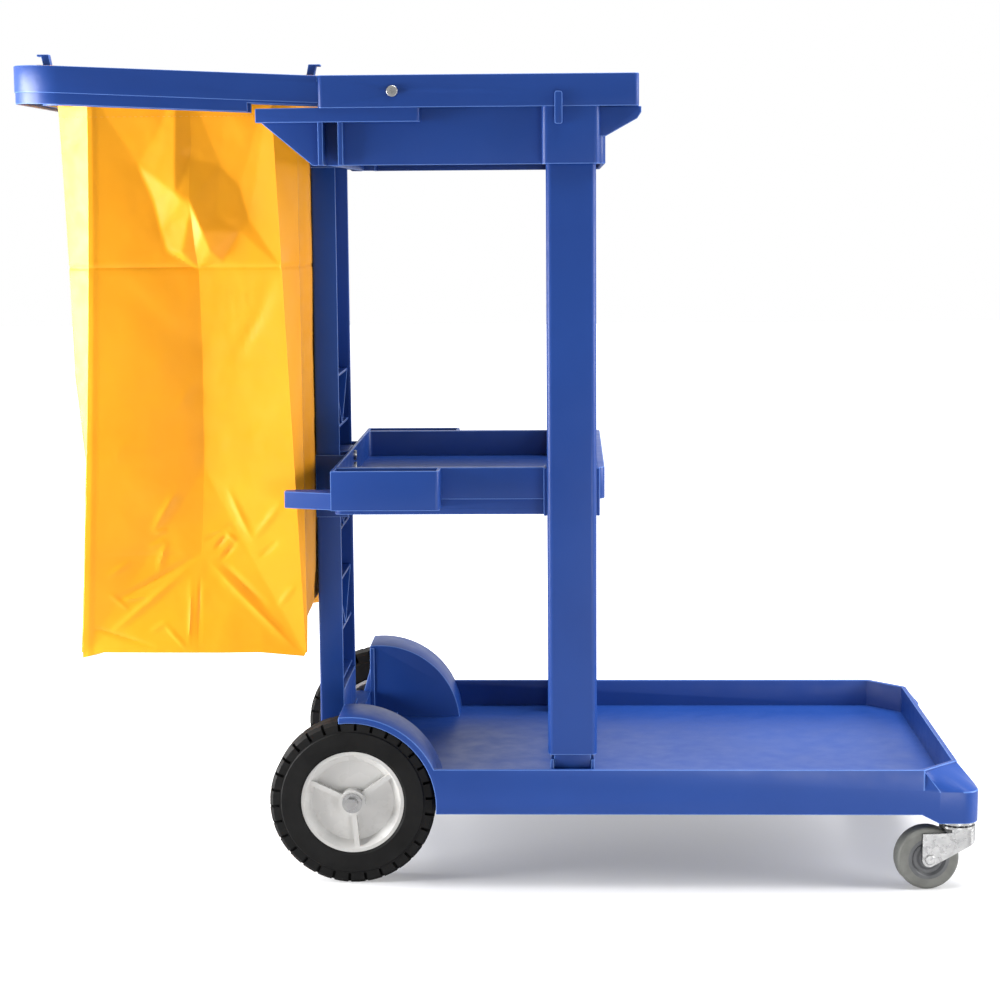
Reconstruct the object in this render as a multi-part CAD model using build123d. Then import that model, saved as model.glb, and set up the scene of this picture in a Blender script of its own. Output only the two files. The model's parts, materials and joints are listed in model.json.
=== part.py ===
from build123d import *
import os
from math import cos, radians, sin, sqrt, tan

# Sizes are in millimetres. X runs forward from the rear axle, Y to the left, Z up from the floor.
# The finished pieces are shifted along X at the end, so that the origin is under the cart's middle.

# Fits shared by all pieces
RUNNING_FIT = 0.05
SOCKET_FIT = 0.25
END_PLAY = 0.3
OVERCUT = 2.0

# Rear wheels and axle
WHEEL_DIA = 200.0
TYRE_WIDTH = 44.0
TYRE_SEAT_DIA = 124.0
TYRE_BEAD_INSET = 3.0
TYRE_STEP_DIA = 171.0
TYRE_STEP = 1.4
TYRE_SHOULDER = 4.0
TYRE_LUGS = 30
LUG_GROOVE = 3.5
LUG_REACH = 9.0
HUB_RIM_INSET = 2.0
HUB_RIM_WALL = 4.0
HUB_DISC_DIA = 98.0
HUB_WEB = 20.0
HUB_BOSS_DIA = 31.0
HUB_BOSS_LENGTH = 47.4
HUB_RIBS = 3
HUB_RIB_WALL = 6.0
HUB_RIB_HEIGHT = 8.0
HUB_RIB_TURN = 85.0
BUSH_WALL = 2.5
AXLE_DIA = 15.0
WASHER_THICK = 2.0
WASHER_DIA = 24.0
AXLE_BOLT_DIA = 8.0
AXLE_BOLT_GRIP = 18.0
AXLE_BOLT_FLATS = 13.0
AXLE_BOLT_HEAD = 5.5

# Casters
CASTER_DIA = 75.0
CASTER_WIDTH = 24.0
CASTER_CORE_DIA = 50.0
CASTER_CORE_DISH = 3.0
CASTER_HUB_DIA = 22.0
CASTER_TRAIL = 37.0
CASTER_TURN = 8.0
CASTER_SIDE_GAP = 1.5
CASTER_EDGE = 4.0
CROWN_DIA = 42.0
CROWN_GAP = 2.1
FORK_SHEET = 2.5
FORK_EYE = 9.0
FORK_NOSE = 12.0
FORK_ROUND = 12.0
FORK_EYE_TURN = 35.0
BALL_DIA = 4.0
BALL_COUNT = 14
BALL_CIRCLE = 30.0
BALL_SINK = 0.8
RACE_GAP = 2.5
RACE_THICK = 3.0
KINGPIN_DIA = 12.0
KINGPIN_HEAD_DIA = 18.0
KINGPIN_HEAD = 4.0
KINGPIN_GRIP = 18.0
SLEEVE_DIA = 12.0
CASTER_BOLT_DIA = 8.0
CASTER_BOLT_HEAD_DIA = 12.0
CASTER_BOLT_HEAD = 3.0
CASTER_NUT_FLATS = 13.0
CASTER_NUT = 5.0

# Base platform
PLATFORM_WIDTH = 500.0
PLATFORM_LENGTH = 727.0
FLOOR_TOP = 110.0
LIP_HEIGHT = 36.0
SKIRT_DROP = 19.0
WALL = 4.0
LIP_WALL = 6.0
CORNER_CUT = 46.0
ARCH_GAP = 7.0
ARCH_WALL = 3.0
ARCH_DEPTH = 69.0
ARCH_REACH = 13.5
ARCH_BEAD = 6.0
ARCH_BEAD_PROUD = 2.0
ARCH_FLANGE = 8.0
ARCH_GUSSET = 9.0
ARCH_GUSSET_HEIGHT = 32.0
DECK_REACH = 57.0
DECK_FRONT = 24.0
DECK_STEP = 1.0
AXLE_BOSS_DIA = 30.0
AXLE_BOSS_PROUD = 1.0
AXLE_BOSS_LENGTH = 16.0
DECK_RIB_Y = 60.0
RIB_WALL = 3.0
RIB_DROP = 12.0
RIB_PITCH = 110.0
BLOCK_LENGTH = 68.0
BLOCK_WIDTH = 59.0
BLOCK_PROUD = 20.0
BLOCK_SIDE_PROUD = 4.0
BLOCK_SLOPE = 26.0
BLOCK_ROUND = 20.0
BLOCK_RAMP = 20.0
CASTER_FRONT_MARGIN = 3.0
CASTER_SIDE_MARGIN = 1.0

# Front columns
COLUMN_X = 265.0
COLUMN_LENGTH = 58.0
COLUMN_DEPTH = 44.0
COLUMN_INSET = 8.0
COLUMN_WALL = 4.0
COLUMN_ROUND = 7.0
FOOT_STEP = 7.0
FOOT_HEIGHT = 52.0
COLLAR_HEIGHT = 46.0
COLLAR_SILL = 4.0

# Rear upright
UPRIGHT_BACK = 54.0
UPRIGHT_DEPTH = 30.0
UPRIGHT_WIDTH = 156.0
UPRIGHT_ROUND = 3.0
PLINTH_HEIGHT = 12.0
PLINTH_MARGIN = 2.0
TONGUE_HEIGHT = 45.0
UPRIGHT_BOSS = 34.0
UPRIGHT_BOSS_PROUD = 6.0
UPRIGHT_RIB_PITCH = 65.0
UPRIGHT_RIB_RISE = 96.0

# Middle shelf
MIDDLE_TOP = 504.0
MIDDLE_DEPTH = 57.0
MIDDLE_INSET = 34.0
MIDDLE_OVERHANG = 10.0
MIDDLE_SKIRT = 38.0
MIDDLE_STEP = 6.0
MIDDLE_CORNER = 10.0
POCKET_LENGTH = 128.0
POCKET_DEPTH = 34.0
POCKET_HEIGHT = 47.0
POCKET_CORNER = 6.0
ARM_REACH = 57.0
ARM_HEIGHT = 20.0
ARM_RAISED = 1.0
ARM_INSET = 3.0
ARM_TIP = 16.0
YOKE_DROP = 21.0
CLAMP_PROUD = 8.0

# Top shelf
TOP_HEIGHT = 960.0
RIM_DEPTH = 37.0
RIM_WALL = 4.0
RIM_BACK = 25.0
RIM_OVERHANG = 38.0
RIM_ROUND = 6.0
TRAY_DEPTH = 102.0
TRAY_SKIRT = 8.0
TRAY_INSET = 16.0
TRAY_OVERHANG = 11.0
TRAY_CORNER = 12.0
CHEEK_REACH = 97.0
CHEEK_FOOT = 33.0
BAND_LENGTH = 189.0
TOP_BAND_HEIGHT = 16.0
BAND_END = 5.0
SLOT_BACK = 20.0
SLOT_LENGTH = 17.0
SLOT_DEPTH = 26.0
SLOT_RIB = 6.0
SLOT_RIB_PROUD = 9.0
SOCKET_DEPTH = 47.0
SOCKET_ROUND = 7.0
WING_WALL = 6.0
WING_REACH = 3.0
WING_DROP = 34.0
WING_TIP = 14.0
PEG_BACK = 14.0
PEG_WIDTH = 9.0
PEG_LENGTH = 37.0
PEG_TOP_DROP = 20.0

# Bag frame
LOOP_REACH = 389.0
LOOP_BAR = 36.0
LOOP_HEIGHT = 44.0
LOOP_CORNER = 66.0
LOOP_TILT = 2.64
LOOP_WALL = 3.5
LOOP_RIB_PITCH = 75.0
LOOP_STEP = 1.0
LOOP_STEP_HEIGHT = 13.0
NOTCH_GAP = 3.0
NOTCH_MARGIN = 9.0
TONGUE_LENGTH = 113.0
ARM_TONGUE_WALL = 9.0
ARM_TONGUE_HEIGHT = 24.0
FRAME_SCREW_BACK = 27.0
HOOK_WALL = 9.0
HOOK_WIDTH = 10.0
HOOK_HEIGHT = 13.0
HOOK_TIP = 5.0
HOOK_TIP_WALL = 2.5
HOOK_LEAN = 3.0
REAR_HOOK_INSET = 51.0
FRONT_HOOK_GAP = 10.0

# Waste bag
BAG_WALL = 2.0
BAG_HEM_DROP = 5.0
BAG_HEIGHT = 677.0
BAG_SIDE_GAP = 6.75
BAG_BACK_GAP = 8.0
BAG_FRONT_GAP = 6.0
BAG_SIDE_TAPER = 4.0
BAG_BACK_TAPER = 18.0
BAG_FRONT_TAPER = 2.5
BAG_REAR_CUT = 45.0
BAG_FRONT_CUT = 25.0
BAG_SIDE_CUT = 40.0
BAG_FOOT_CUT = 6.0
TAB_WIDTH = 18.0
TAB_WALL = 1.0
TAB_LIFT = 0.3
TAB_END = 12.0
TAB_DROP = 20.0

# Screws
SCREW_DIA = 5.5
SCREW_HEAD_DIA = 13.0
SCREW_HEAD = 3.5
SCREW_GRIP = 12.0
SCREW_SPACING = 15.0
HEAD_CLEAR = 3.0

# Places worked out from the sizes above
AXLE_Z = WHEEL_DIA / 2
HALF_WIDTH = PLATFORM_WIDTH / 2
FLOOR_UNDER = FLOOR_TOP - WALL
LIP_TOP = FLOOR_TOP + LIP_HEIGHT
LOW_DECK = max(FLOOR_TOP, AXLE_Z + AXLE_BOSS_DIA / 2) + DECK_STEP
SKIRT_BOTTOM = FLOOR_TOP - SKIRT_DROP
PANEL_OUT = HALF_WIDTH - ARCH_DEPTH
PANEL_IN = PANEL_OUT - WALL
ARCH_RADIUS = WHEEL_DIA / 2 + ARCH_GAP + ARCH_WALL
WHEEL_Y = PANEL_OUT + AXLE_BOSS_PROUD + WASHER_THICK + END_PLAY + HUB_BOSS_LENGTH / 2
AXLE_HALF = WHEEL_Y + HUB_BOSS_LENGTH / 2 + END_PLAY

CROWN_OVERLAP = max(CASTER_TRAIL - CROWN_DIA / 2, 0)
CROWN_UNDER = CASTER_DIA / 2 + sqrt((CASTER_DIA / 2) ** 2 - CROWN_OVERLAP**2) + CROWN_GAP
CROWN_TOP = CROWN_UNDER + FORK_SHEET
RACE_UNDER = CROWN_TOP + RACE_GAP
BLOCK_BOTTOM = RACE_UNDER + RACE_THICK
FRONT_END = PLATFORM_LENGTH + BLOCK_PROUD
BLOCK_OUT = HALF_WIDTH + BLOCK_SIDE_PROUD
CASTER_X = FRONT_END - CROWN_DIA / 2 - CASTER_FRONT_MARGIN
CASTER_Y = BLOCK_OUT - CROWN_DIA / 2 - CASTER_SIDE_MARGIN
CASTER_BOSS_DIA = CROWN_DIA - WALL

COLUMN_OUT = HALF_WIDTH - COLUMN_INSET
COLUMN_IN = COLUMN_OUT - COLUMN_DEPTH
COLUMN_BACK = COLUMN_X - COLUMN_LENGTH / 2
COLUMN_FRONT = COLUMN_X + COLUMN_LENGTH / 2
COLUMN_Y = (COLUMN_OUT + COLUMN_IN) / 2

TRAY_UNDER = TOP_HEIGHT - TRAY_DEPTH
RIM_UNDER = TOP_HEIGHT - RIM_DEPTH
BAND_OUT = HALF_WIDTH - RIM_WALL / 2
POST_TOP = TRAY_UNDER + SOCKET_DEPTH
TRAY_HALF = HALF_WIDTH - TRAY_INSET
TRAY_FRONT = COLUMN_FRONT + TRAY_OVERHANG
RIM_FRONT = TRAY_FRONT + RIM_OVERHANG
UPRIGHT_FRONT = UPRIGHT_DEPTH - UPRIGHT_BACK
UPRIGHT_HALF = UPRIGHT_WIDTH / 2
PLINTH_TOP = LIP_TOP + PLINTH_HEIGHT
SHELF_BACK = UPRIGHT_FRONT + UPRIGHT_BOSS_PROUD + SOCKET_FIT
MIDDLE_HALF = HALF_WIDTH - MIDDLE_INSET
MIDDLE_LOW_HALF = MIDDLE_HALF - MIDDLE_STEP
MIDDLE_UNDER = MIDDLE_TOP - MIDDLE_DEPTH
MIDDLE_FRONT = COLUMN_FRONT + MIDDLE_OVERHANG
POCKET_OUT = MIDDLE_HALF + POCKET_DEPTH
POCKET_UNDER = MIDDLE_TOP - POCKET_HEIGHT

LOOP_HALF = HALF_WIDTH - RIM_WALL - SOCKET_FIT
HOOK_Y = LOOP_HALF - LOOP_BAR / 2
REAR_HOOK_X = LOOP_REACH - REAR_HOOK_INSET
FRONT_HOOK_X = RIM_BACK + FRONT_HOOK_GAP
NOTCH_DEPTH = LOOP_HEIGHT - RIM_DEPTH + NOTCH_GAP
NOTCH_FRONT = CHEEK_REACH + NOTCH_MARGIN
TONGUE_END = TONGUE_LENGTH - RIM_BACK
FRAME_SCREW_X = TONGUE_END - FRAME_SCREW_BACK
BAG_TOP = TOP_HEIGHT - BAG_HEM_DROP
BAG_BOTTOM = BAG_TOP - BAG_HEIGHT
BAG_BACK = LOOP_REACH - LOOP_BAR - BAG_BACK_GAP
BAG_FRONT = UPRIGHT_BACK + BAG_FRONT_GAP
BAG_HALF = LOOP_HALF - LOOP_BAR - BAG_SIDE_GAP
FRAME_SHIFT = (LOOP_REACH - FRONT_END) / 2


def block(x0, x1, y0, y1, z0, z1):
    """A rectangular block between two corners."""
    middle = Pos((x0 + x1) / 2, (y0 + y1) / 2, (z0 + z1) / 2)
    return middle * Box(abs(x1 - x0), abs(y1 - y0), abs(z1 - z0))


def side_prism(points, y0, y1):
    """A prism with an outline in X and Z, from y0 to y1."""
    outline = Polyline(*[(x, y0, z) for x, z in points], close=True)
    return extrude(make_face(outline), amount=y1 - y0, dir=(0, 1, 0))


def plan_prism(points, z0, z1):
    """A prism with an outline in X and Y, from z0 to z1."""
    outline = Polyline(*[(x, y, z0) for x, y in points], close=True)
    return extrude(make_face(outline), amount=z1 - z0, dir=(0, 0, 1))


def rod_y(dia, x, y0, y1, z):
    """A round bar along Y."""
    return Pos(x, (y0 + y1) / 2, z) * Rot(90, 0, 0) * Cylinder(dia / 2, abs(y1 - y0))


def rod_z(dia, x, y, z0, z1):
    """A round bar along Z."""
    return Pos(x, y, (z0 + z1) / 2) * Cylinder(dia / 2, abs(z1 - z0))


def tube_y(outer, inner, y0, y1):
    """A tube along Y about the origin."""
    return rod_y(outer, 0, y0, y1, 0) - rod_y(inner, 0, y0 - OVERCUT, y1 + OVERCUT, 0)


def other_side(shape):
    """The same form on the other side of the cart."""
    return mirror(shape, about=Plane.XZ)


def both_sides(shape):
    """A form and its mirror image, as a list."""
    return [shape, other_side(shape)]


def rounded_block(x0, x1, y0, y1, z0, z1, radius):
    """A block with rounded upright edges."""
    solid = block(x0, x1, y0, y1, z0, z1)
    return fillet(solid.edges().filter_by(Axis.Z), radius)


def cut_corner_plan(x0, x1, half, cut):
    """A plan outline with its two front corners cut off at 45 degrees."""
    right = [(x0, -half), (x1 - cut, -half), (x1, cut - half)]
    left = [(x1, half - cut), (x1 - cut, half), (x0, half)]
    return right + left


def pan_screw(place, direction):
    """A pan-head screw seated at a place, its shank pointing in a direction."""
    head = fillet(Cylinder(SCREW_HEAD_DIA / 2, SCREW_HEAD).edges().sort_by(Axis.Z)[-1], SCREW_HEAD / 3)
    arm = SCREW_HEAD_DIA / 2
    slot = SCREW_HEAD / 2
    recess = Box(arm, slot, SCREW_HEAD) + Box(slot, arm, SCREW_HEAD)
    head = Pos(0, 0, SCREW_HEAD / 2) * (head - Pos(0, 0, SCREW_HEAD / 2) * recess)
    screw = head + Pos(0, 0, -SCREW_GRIP / 2) * Cylinder(SCREW_DIA / 2, SCREW_GRIP)
    seat = Plane(origin=place, z_dir=-Vector(*direction))
    return seat * screw


def screw_hole(place, direction):
    """The clearance hole for a pan-head screw, a little longer than its shank."""
    length = SCREW_GRIP + OVERCUT
    hole = Pos(0, 0, -length / 2) * Cylinder(SCREW_DIA / 2 + RUNNING_FIT, length + OVERCUT)
    return Plane(origin=place, z_dir=-Vector(*direction)) * hole


def hex_prism(flats, height):
    """A hexagon bar, standing on the origin."""
    face = make_face(RegularPolygon(flats / 2, 6, major_radius=False).edges())
    return extrude(face, amount=height)


# Rear wheels


def wheel_tyre():
    """Black rubber tyre with a plain sidewall and a ring of shoulder lugs on each side."""
    half = TYRE_WIDTH / 2
    outer = WHEEL_DIA / 2
    seat = TYRE_SEAT_DIA / 2
    step = TYRE_STEP_DIA / 2
    lug_face = half - TYRE_STEP
    right = [
        (seat, -half + TYRE_BEAD_INSET),
        (seat + TYRE_BEAD_INSET, -half),
        (step, -half),
        (step + TYRE_STEP, -lug_face),
        (outer - TYRE_SHOULDER, -lug_face),
        (outer, TYRE_SHOULDER - lug_face),
    ]
    left = [(r, -y) for r, y in reversed(right)]
    tyre = revolve(make_face(Polyline(*right, *left, close=True)), axis=Axis.Y)
    depth = outer - step
    grooves = []
    for lug in range(TYRE_LUGS):
        for side in (-1, 1):
            turn = 360 * (lug + side / 4) / TYRE_LUGS
            groove = Box(depth, LUG_REACH, LUG_GROOVE)
            middle = Pos(step + 2 * TYRE_STEP + depth / 2, side * (half - LUG_REACH / 2), 0)
            grooves.append(Rot(0, turn, 0) * middle * groove)
    return tyre - grooves


def wheel_hub():
    """White hub: a rim for the tyre, a dished disc, a boss and three ribs on each side."""
    bore = AXLE_DIA / 2 + RUNNING_FIT + BUSH_WALL
    boss = HUB_BOSS_DIA / 2
    disc = HUB_DISC_DIA / 2
    seat = TYRE_SEAT_DIA / 2
    rim_half = TYRE_WIDTH / 2 - HUB_RIM_INSET
    right = [
        (bore, -HUB_BOSS_LENGTH / 2),
        (boss, -HUB_BOSS_LENGTH / 2),
        (boss, -HUB_WEB / 2),
        (disc, -HUB_WEB / 2),
        (seat - HUB_RIM_WALL, -rim_half),
        (seat, -rim_half),
    ]
    left = [(r, -y) for r, y in reversed(right)]
    hub = revolve(make_face(Polyline(*right, *left, close=True)), axis=Axis.Y)
    root = (bore + boss) / 2
    length = seat - HUB_RIM_WALL - root
    rib = Pos(root + length / 2, 0, 0) * Box(length, HUB_WEB + 2 * HUB_RIB_HEIGHT, HUB_RIB_WALL)
    ribs = [Rot(0, HUB_RIB_TURN + 360 * i / HUB_RIBS, 0) * rib for i in range(HUB_RIBS)]
    return hub + ribs


def wheel_bush():
    """Plain bush pressed into the hub."""
    inner = AXLE_DIA + 2 * RUNNING_FIT
    half = HUB_BOSS_LENGTH / 2
    return tube_y(inner + 2 * BUSH_WALL, inner, -half, half)


def at_wheel(shape, side):
    """Put a wheel piece on the axle at one side."""
    return Pos(0, side * WHEEL_Y, AXLE_Z) * shape


def rear_axle():
    """Steel axle right across the base, tapped at both ends."""
    bar = rod_y(AXLE_DIA, 0, -AXLE_HALF, AXLE_HALF, AXLE_Z)
    depth = AXLE_BOLT_GRIP + OVERCUT
    tap = rod_y(AXLE_BOLT_DIA + 2 * RUNNING_FIT, 0, AXLE_HALF - depth, AXLE_HALF + OVERCUT, AXLE_Z)
    return bar - both_sides(tap)


def wheel_washers():
    """Inner washers against the base and outer washers on the axle ends."""
    inner_bore = AXLE_DIA + 2 * RUNNING_FIT
    inner_dia = max(WASHER_DIA, inner_bore + 2 * BUSH_WALL)
    seat = PANEL_OUT + AXLE_BOSS_PROUD
    inner = tube_y(inner_dia, inner_bore, seat, seat + WASHER_THICK)
    outer = tube_y(WASHER_DIA, AXLE_BOLT_DIA + 2 * RUNNING_FIT, AXLE_HALF, AXLE_HALF + WASHER_THICK)
    raise_to_axle = Pos(0, 0, AXLE_Z)
    return [raise_to_axle * ring for ring in both_sides(inner) + both_sides(outer)]


def axle_bolts():
    """Hexagon bolts that hold the outer washers on the axle ends."""
    seat = AXLE_HALF + WASHER_THICK
    head = Pos(0, seat, AXLE_Z) * Rot(-90, 0, 0) * hex_prism(AXLE_BOLT_FLATS, AXLE_BOLT_HEAD)
    shank = rod_y(AXLE_BOLT_DIA, 0, AXLE_HALF - AXLE_BOLT_GRIP, seat, AXLE_Z)
    return both_sides(head + shank)


# Casters, built with the swivel axis on the origin and the wheel trailing to the back, then turned a little

CASTER_AXLE_Z = CASTER_DIA / 2
FORK_IN = CASTER_WIDTH / 2 + CASTER_SIDE_GAP
FORK_OUT = FORK_IN + FORK_SHEET
BALL_Z = CROWN_TOP - BALL_SINK + BALL_DIA / 2


def ball_groove(gap):
    """The ring that the bearing balls roll in, with a gap round the balls."""
    section = Pos(BALL_CIRCLE / 2, BALL_Z) * Circle(BALL_DIA / 2 + gap)
    return revolve(Plane.XZ * section, axis=Axis.Z)


def caster_fork():
    """Pressed fork: a round crown, two cheeks down to the axle and a web round the front."""
    nose = CROWN_DIA / 2
    eye = -CASTER_TRAIL
    eye_turn = radians(FORK_EYE_TURN)
    slope_z = CROWN_UNDER - FORK_NOSE
    cheek_top = CROWN_UNDER - CROWN_GAP - FORK_SHEET
    outline = [
        (eye - FORK_EYE, cheek_top),
        (eye - FORK_EYE, CASTER_AXLE_Z),
        (eye + FORK_EYE * sin(eye_turn), CASTER_AXLE_Z - FORK_EYE * cos(eye_turn)),
        (nose - FORK_SHEET, slope_z - FORK_NOSE / 2),
        (nose, slope_z),
        (nose, CROWN_TOP),
        (-nose / 2, CROWN_TOP),
        (-nose / 2, cheek_top),
    ]
    back = eye - 3 * FORK_EYE
    top = CROWN_TOP + OVERCUT
    cheeks = side_prism(outline, -FORK_OUT, FORK_OUT)
    cheeks &= rounded_block(back, nose, -FORK_OUT, FORK_OUT, 0, top, FORK_ROUND)
    cheeks += rod_y(2 * FORK_EYE, eye, -FORK_OUT, FORK_OUT, CASTER_AXLE_Z)
    web = nose - FORK_SHEET
    room = [
        (eye - 2 * FORK_EYE, CASTER_AXLE_Z - 2 * FORK_EYE),
        (eye + FORK_EYE, CASTER_AXLE_Z - 2 * FORK_EYE),
        (web - FORK_SHEET, slope_z - FORK_NOSE / 2),
        (web, slope_z),
        (web, CROWN_UNDER),
        (-nose, CROWN_UNDER),
        (-nose, top),
        (eye - 2 * FORK_EYE, top),
    ]
    inside = rounded_block(back, web, -FORK_IN, FORK_IN, 0, 2 * top, FORK_ROUND - FORK_SHEET)
    fork = cheeks - (side_prism(room, -FORK_IN, FORK_IN) & inside)
    fork += rod_z(CROWN_DIA, 0, 0, CROWN_UNDER, CROWN_TOP)
    fork -= rod_z(KINGPIN_DIA + 2 * RUNNING_FIT, 0, 0, CROWN_UNDER - OVERCUT, CROWN_TOP + OVERCUT)
    fork -= rod_y(CASTER_BOLT_DIA + 2 * RUNNING_FIT, eye, -2 * FORK_OUT, 2 * FORK_OUT, CASTER_AXLE_Z)
    return fork - ball_groove(RUNNING_FIT)


def caster_kingpin():
    """Kingpin: a head under the crown and a shank up into the base."""
    head_top = CROWN_UNDER - END_PLAY
    shank = rod_z(KINGPIN_DIA, 0, 0, head_top, BLOCK_BOTTOM + KINGPIN_GRIP)
    return shank + rod_z(KINGPIN_HEAD_DIA, 0, 0, head_top - KINGPIN_HEAD, head_top)


def caster_race():
    """Upper race, a thick ring under the base with a groove for the balls."""
    ring = rod_z(CROWN_DIA, 0, 0, RACE_UNDER, BLOCK_BOTTOM)
    ring -= rod_z(KINGPIN_DIA + 2 * RUNNING_FIT, 0, 0, RACE_UNDER - OVERCUT, BLOCK_BOTTOM + OVERCUT)
    return ring - ball_groove(END_PLAY)


def caster_balls():
    """Ring of bearing balls, lying in the crown's groove."""
    place = Pos(BALL_CIRCLE / 2, 0, BALL_Z)
    return [Rot(0, 0, 360 * i / BALL_COUNT) * place * Sphere(BALL_DIA / 2) for i in range(BALL_COUNT)]


def caster_core():
    """Dark wheel core with a dished face and a bored hub."""
    half = CASTER_WIDTH / 2
    bore = SLEEVE_DIA / 2 + RUNNING_FIT
    hub = CASTER_HUB_DIA / 2
    rim = CASTER_CORE_DIA / 2
    lip = rim - CASTER_EDGE
    right = [
        (bore, -half),
        (hub, -half),
        (hub + CASTER_CORE_DISH, CASTER_CORE_DISH - half),
        (lip - CASTER_CORE_DISH, CASTER_CORE_DISH - half),
        (lip, -half),
        (rim, -half),
    ]
    left = [(r, -y) for r, y in reversed(right)]
    return revolve(make_face(Polyline(*right, *left, close=True)), axis=Axis.Y)


def caster_tread():
    """Grey tread round the core, with rounded edges."""
    half = CASTER_WIDTH / 2
    outer = CASTER_DIA / 2
    inner = CASTER_CORE_DIA / 2
    tread = tube_y(CASTER_DIA, CASTER_CORE_DIA, -half, half)
    rims = tread.edges().filter_by(GeomType.CIRCLE).filter_by(lambda e: e.radius > (outer + inner) / 2)
    return fillet(rims, CASTER_EDGE)


def caster_sleeve():
    """Sleeve between the fork's cheeks, which the wheel turns on."""
    return tube_y(SLEEVE_DIA, CASTER_BOLT_DIA + 2 * RUNNING_FIT, -FORK_IN, FORK_IN)


def caster_bolt():
    """Axle bolt with a round head on the outer cheek."""
    end = FORK_OUT + CASTER_NUT
    head = rod_y(CASTER_BOLT_HEAD_DIA, 0, -FORK_OUT - CASTER_BOLT_HEAD, -FORK_OUT, 0)
    head = fillet(head.edges().sort_by(Axis.Y)[0], CASTER_BOLT_HEAD / 2)
    return head + rod_y(CASTER_BOLT_DIA, 0, -FORK_OUT, end, 0)


def caster_nut():
    """Hexagon nut on the inner cheek."""
    nut = Pos(0, FORK_OUT, 0) * Rot(-90, 0, 0) * hex_prism(CASTER_NUT_FLATS, CASTER_NUT)
    return nut - rod_y(CASTER_BOLT_DIA + 2 * RUNNING_FIT, 0, 0, 2 * (FORK_OUT + CASTER_NUT), 0)


def caster_pieces():
    """Every piece of the right caster, by name, in its place on the cart."""
    swivel = Pos(CASTER_X, -CASTER_Y, 0)
    turned = swivel * Rot(0, 0, CASTER_TURN)
    axle = turned * Pos(-CASTER_TRAIL, 0, CASTER_AXLE_Z)
    return {
        "caster_kingpin": swivel * caster_kingpin(),
        "caster_race": swivel * caster_race(),
        "caster_balls": [turned * ball for ball in caster_balls()],
        "caster_fork": turned * caster_fork(),
        "caster_core": axle * caster_core(),
        "caster_tread": axle * caster_tread(),
        "caster_sleeve": axle * caster_sleeve(),
        "caster_bolt": axle * caster_bolt(),
        "caster_nut": axle * caster_nut(),
    }


# Base platform


def block_plan(inset, z):
    """Plan of the right corner block, set in from its walls: a ramp out from the lip and two round corners."""
    back = FRONT_END - BLOCK_LENGTH + inset
    front = FRONT_END - inset
    near = inset - BLOCK_OUT
    far = BLOCK_WIDTH - BLOCK_OUT - inset
    turn = BLOCK_ROUND - inset
    ramp = Line((back, near + BLOCK_SIDE_PROUD, z), (back + BLOCK_RAMP, near, z))
    side = Line(ramp @ 1, (front - turn, near, z))
    outer = TangentArc(side @ 1, (front, near + turn, z), tangent=(1, 0, 0))
    nose = Line(outer @ 1, (front, far - turn, z))
    inner = TangentArc(nose @ 1, (front - turn, far, z), tangent=(0, 1, 0))
    end = Line(inner @ 1, (back, far, z))
    return make_face([ramp, side, outer, nose, inner, end, Line(end @ 1, ramp @ 0)])


def corner_block():
    """Right front corner block: upright walls and a top that slopes down from the cut corner of the lip."""
    back = FRONT_END - BLOCK_LENGTH
    shoulder = LIP_TOP - BLOCK_SLOPE
    tuck = Vector(-LIP_WALL, LIP_WALL) / 3
    start = Vector(PLATFORM_LENGTH - CORNER_CUT, -HALF_WIDTH) + tuck
    end = Vector(PLATFORM_LENGTH, CORNER_CUT - HALF_WIDTH) + tuck
    run = end - start
    crest = [
        start + Vector(0, LIP_WALL),
        start,
        start + run / 3,
        start + run * 2 / 3,
        end,
        end - Vector(LIP_WALL, 0),
        Vector(start.X, end.Y),
    ]
    top_face = make_face(Polyline(*[(p.X, p.Y, LIP_TOP) for p in crest], close=True))
    slope = loft([block_plan(0, shoulder), top_face], ruled=True)
    walls = extrude(block_plan(0, BLOCK_BOTTOM), amount=shoulder - BLOCK_BOTTOM, dir=(0, 0, 1))
    under = [
        (back - OVERCUT, SKIRT_BOTTOM),
        (back, SKIRT_BOTTOM),
        (back + BLOCK_RAMP, BLOCK_BOTTOM),
        (back + BLOCK_RAMP, BLOCK_BOTTOM - OVERCUT),
        (back - OVERCUT, BLOCK_BOTTOM - OVERCUT),
    ]
    return walls + slope - side_prism(under, -2 * HALF_WIDTH, 0)


def block_room():
    """The hollow inside the right corner block, round the boss that takes the caster."""
    low = BLOCK_BOTTOM - OVERCUT
    room = extrude(block_plan(WALL, low), amount=FLOOR_UNDER - low, dir=(0, 0, 1))
    return room - rod_z(CASTER_BOSS_DIA, CASTER_X, -CASTER_Y, low - OVERCUT, LIP_TOP)


def wheel_arch():
    """Right wheel arch as a solid half drum, before the wheel's room is cut out of it."""
    drum = rod_y(2 * ARCH_RADIUS, 0, -HALF_WIDTH, -PANEL_IN, AXLE_Z)
    front = block(-ARCH_REACH, 2 * ARCH_RADIUS, -HALF_WIDTH, -PANEL_IN, SKIRT_BOTTOM, 2 * ARCH_RADIUS + AXLE_Z)
    return drum & front


def wheel_room():
    """The room that the right wheel turns in."""
    return rod_y(2 * (ARCH_RADIUS - ARCH_WALL), 0, -2 * HALF_WIDTH, -PANEL_OUT, AXLE_Z)


def arch_flange():
    """Flange that turns in round the outer edge of the right arch."""
    outer = ARCH_WALL - HALF_WIDTH
    ring = rod_y(2 * ARCH_RADIUS, 0, -HALF_WIDTH, outer, AXLE_Z)
    ring -= rod_y(2 * (ARCH_RADIUS - ARCH_FLANGE), 0, -2 * HALF_WIDTH, 0, AXLE_Z)
    top = AXLE_Z + 2 * ARCH_RADIUS
    return ring & block(-ARCH_REACH, 2 * ARCH_RADIUS, -HALF_WIDTH, outer, SKIRT_BOTTOM, top)


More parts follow.
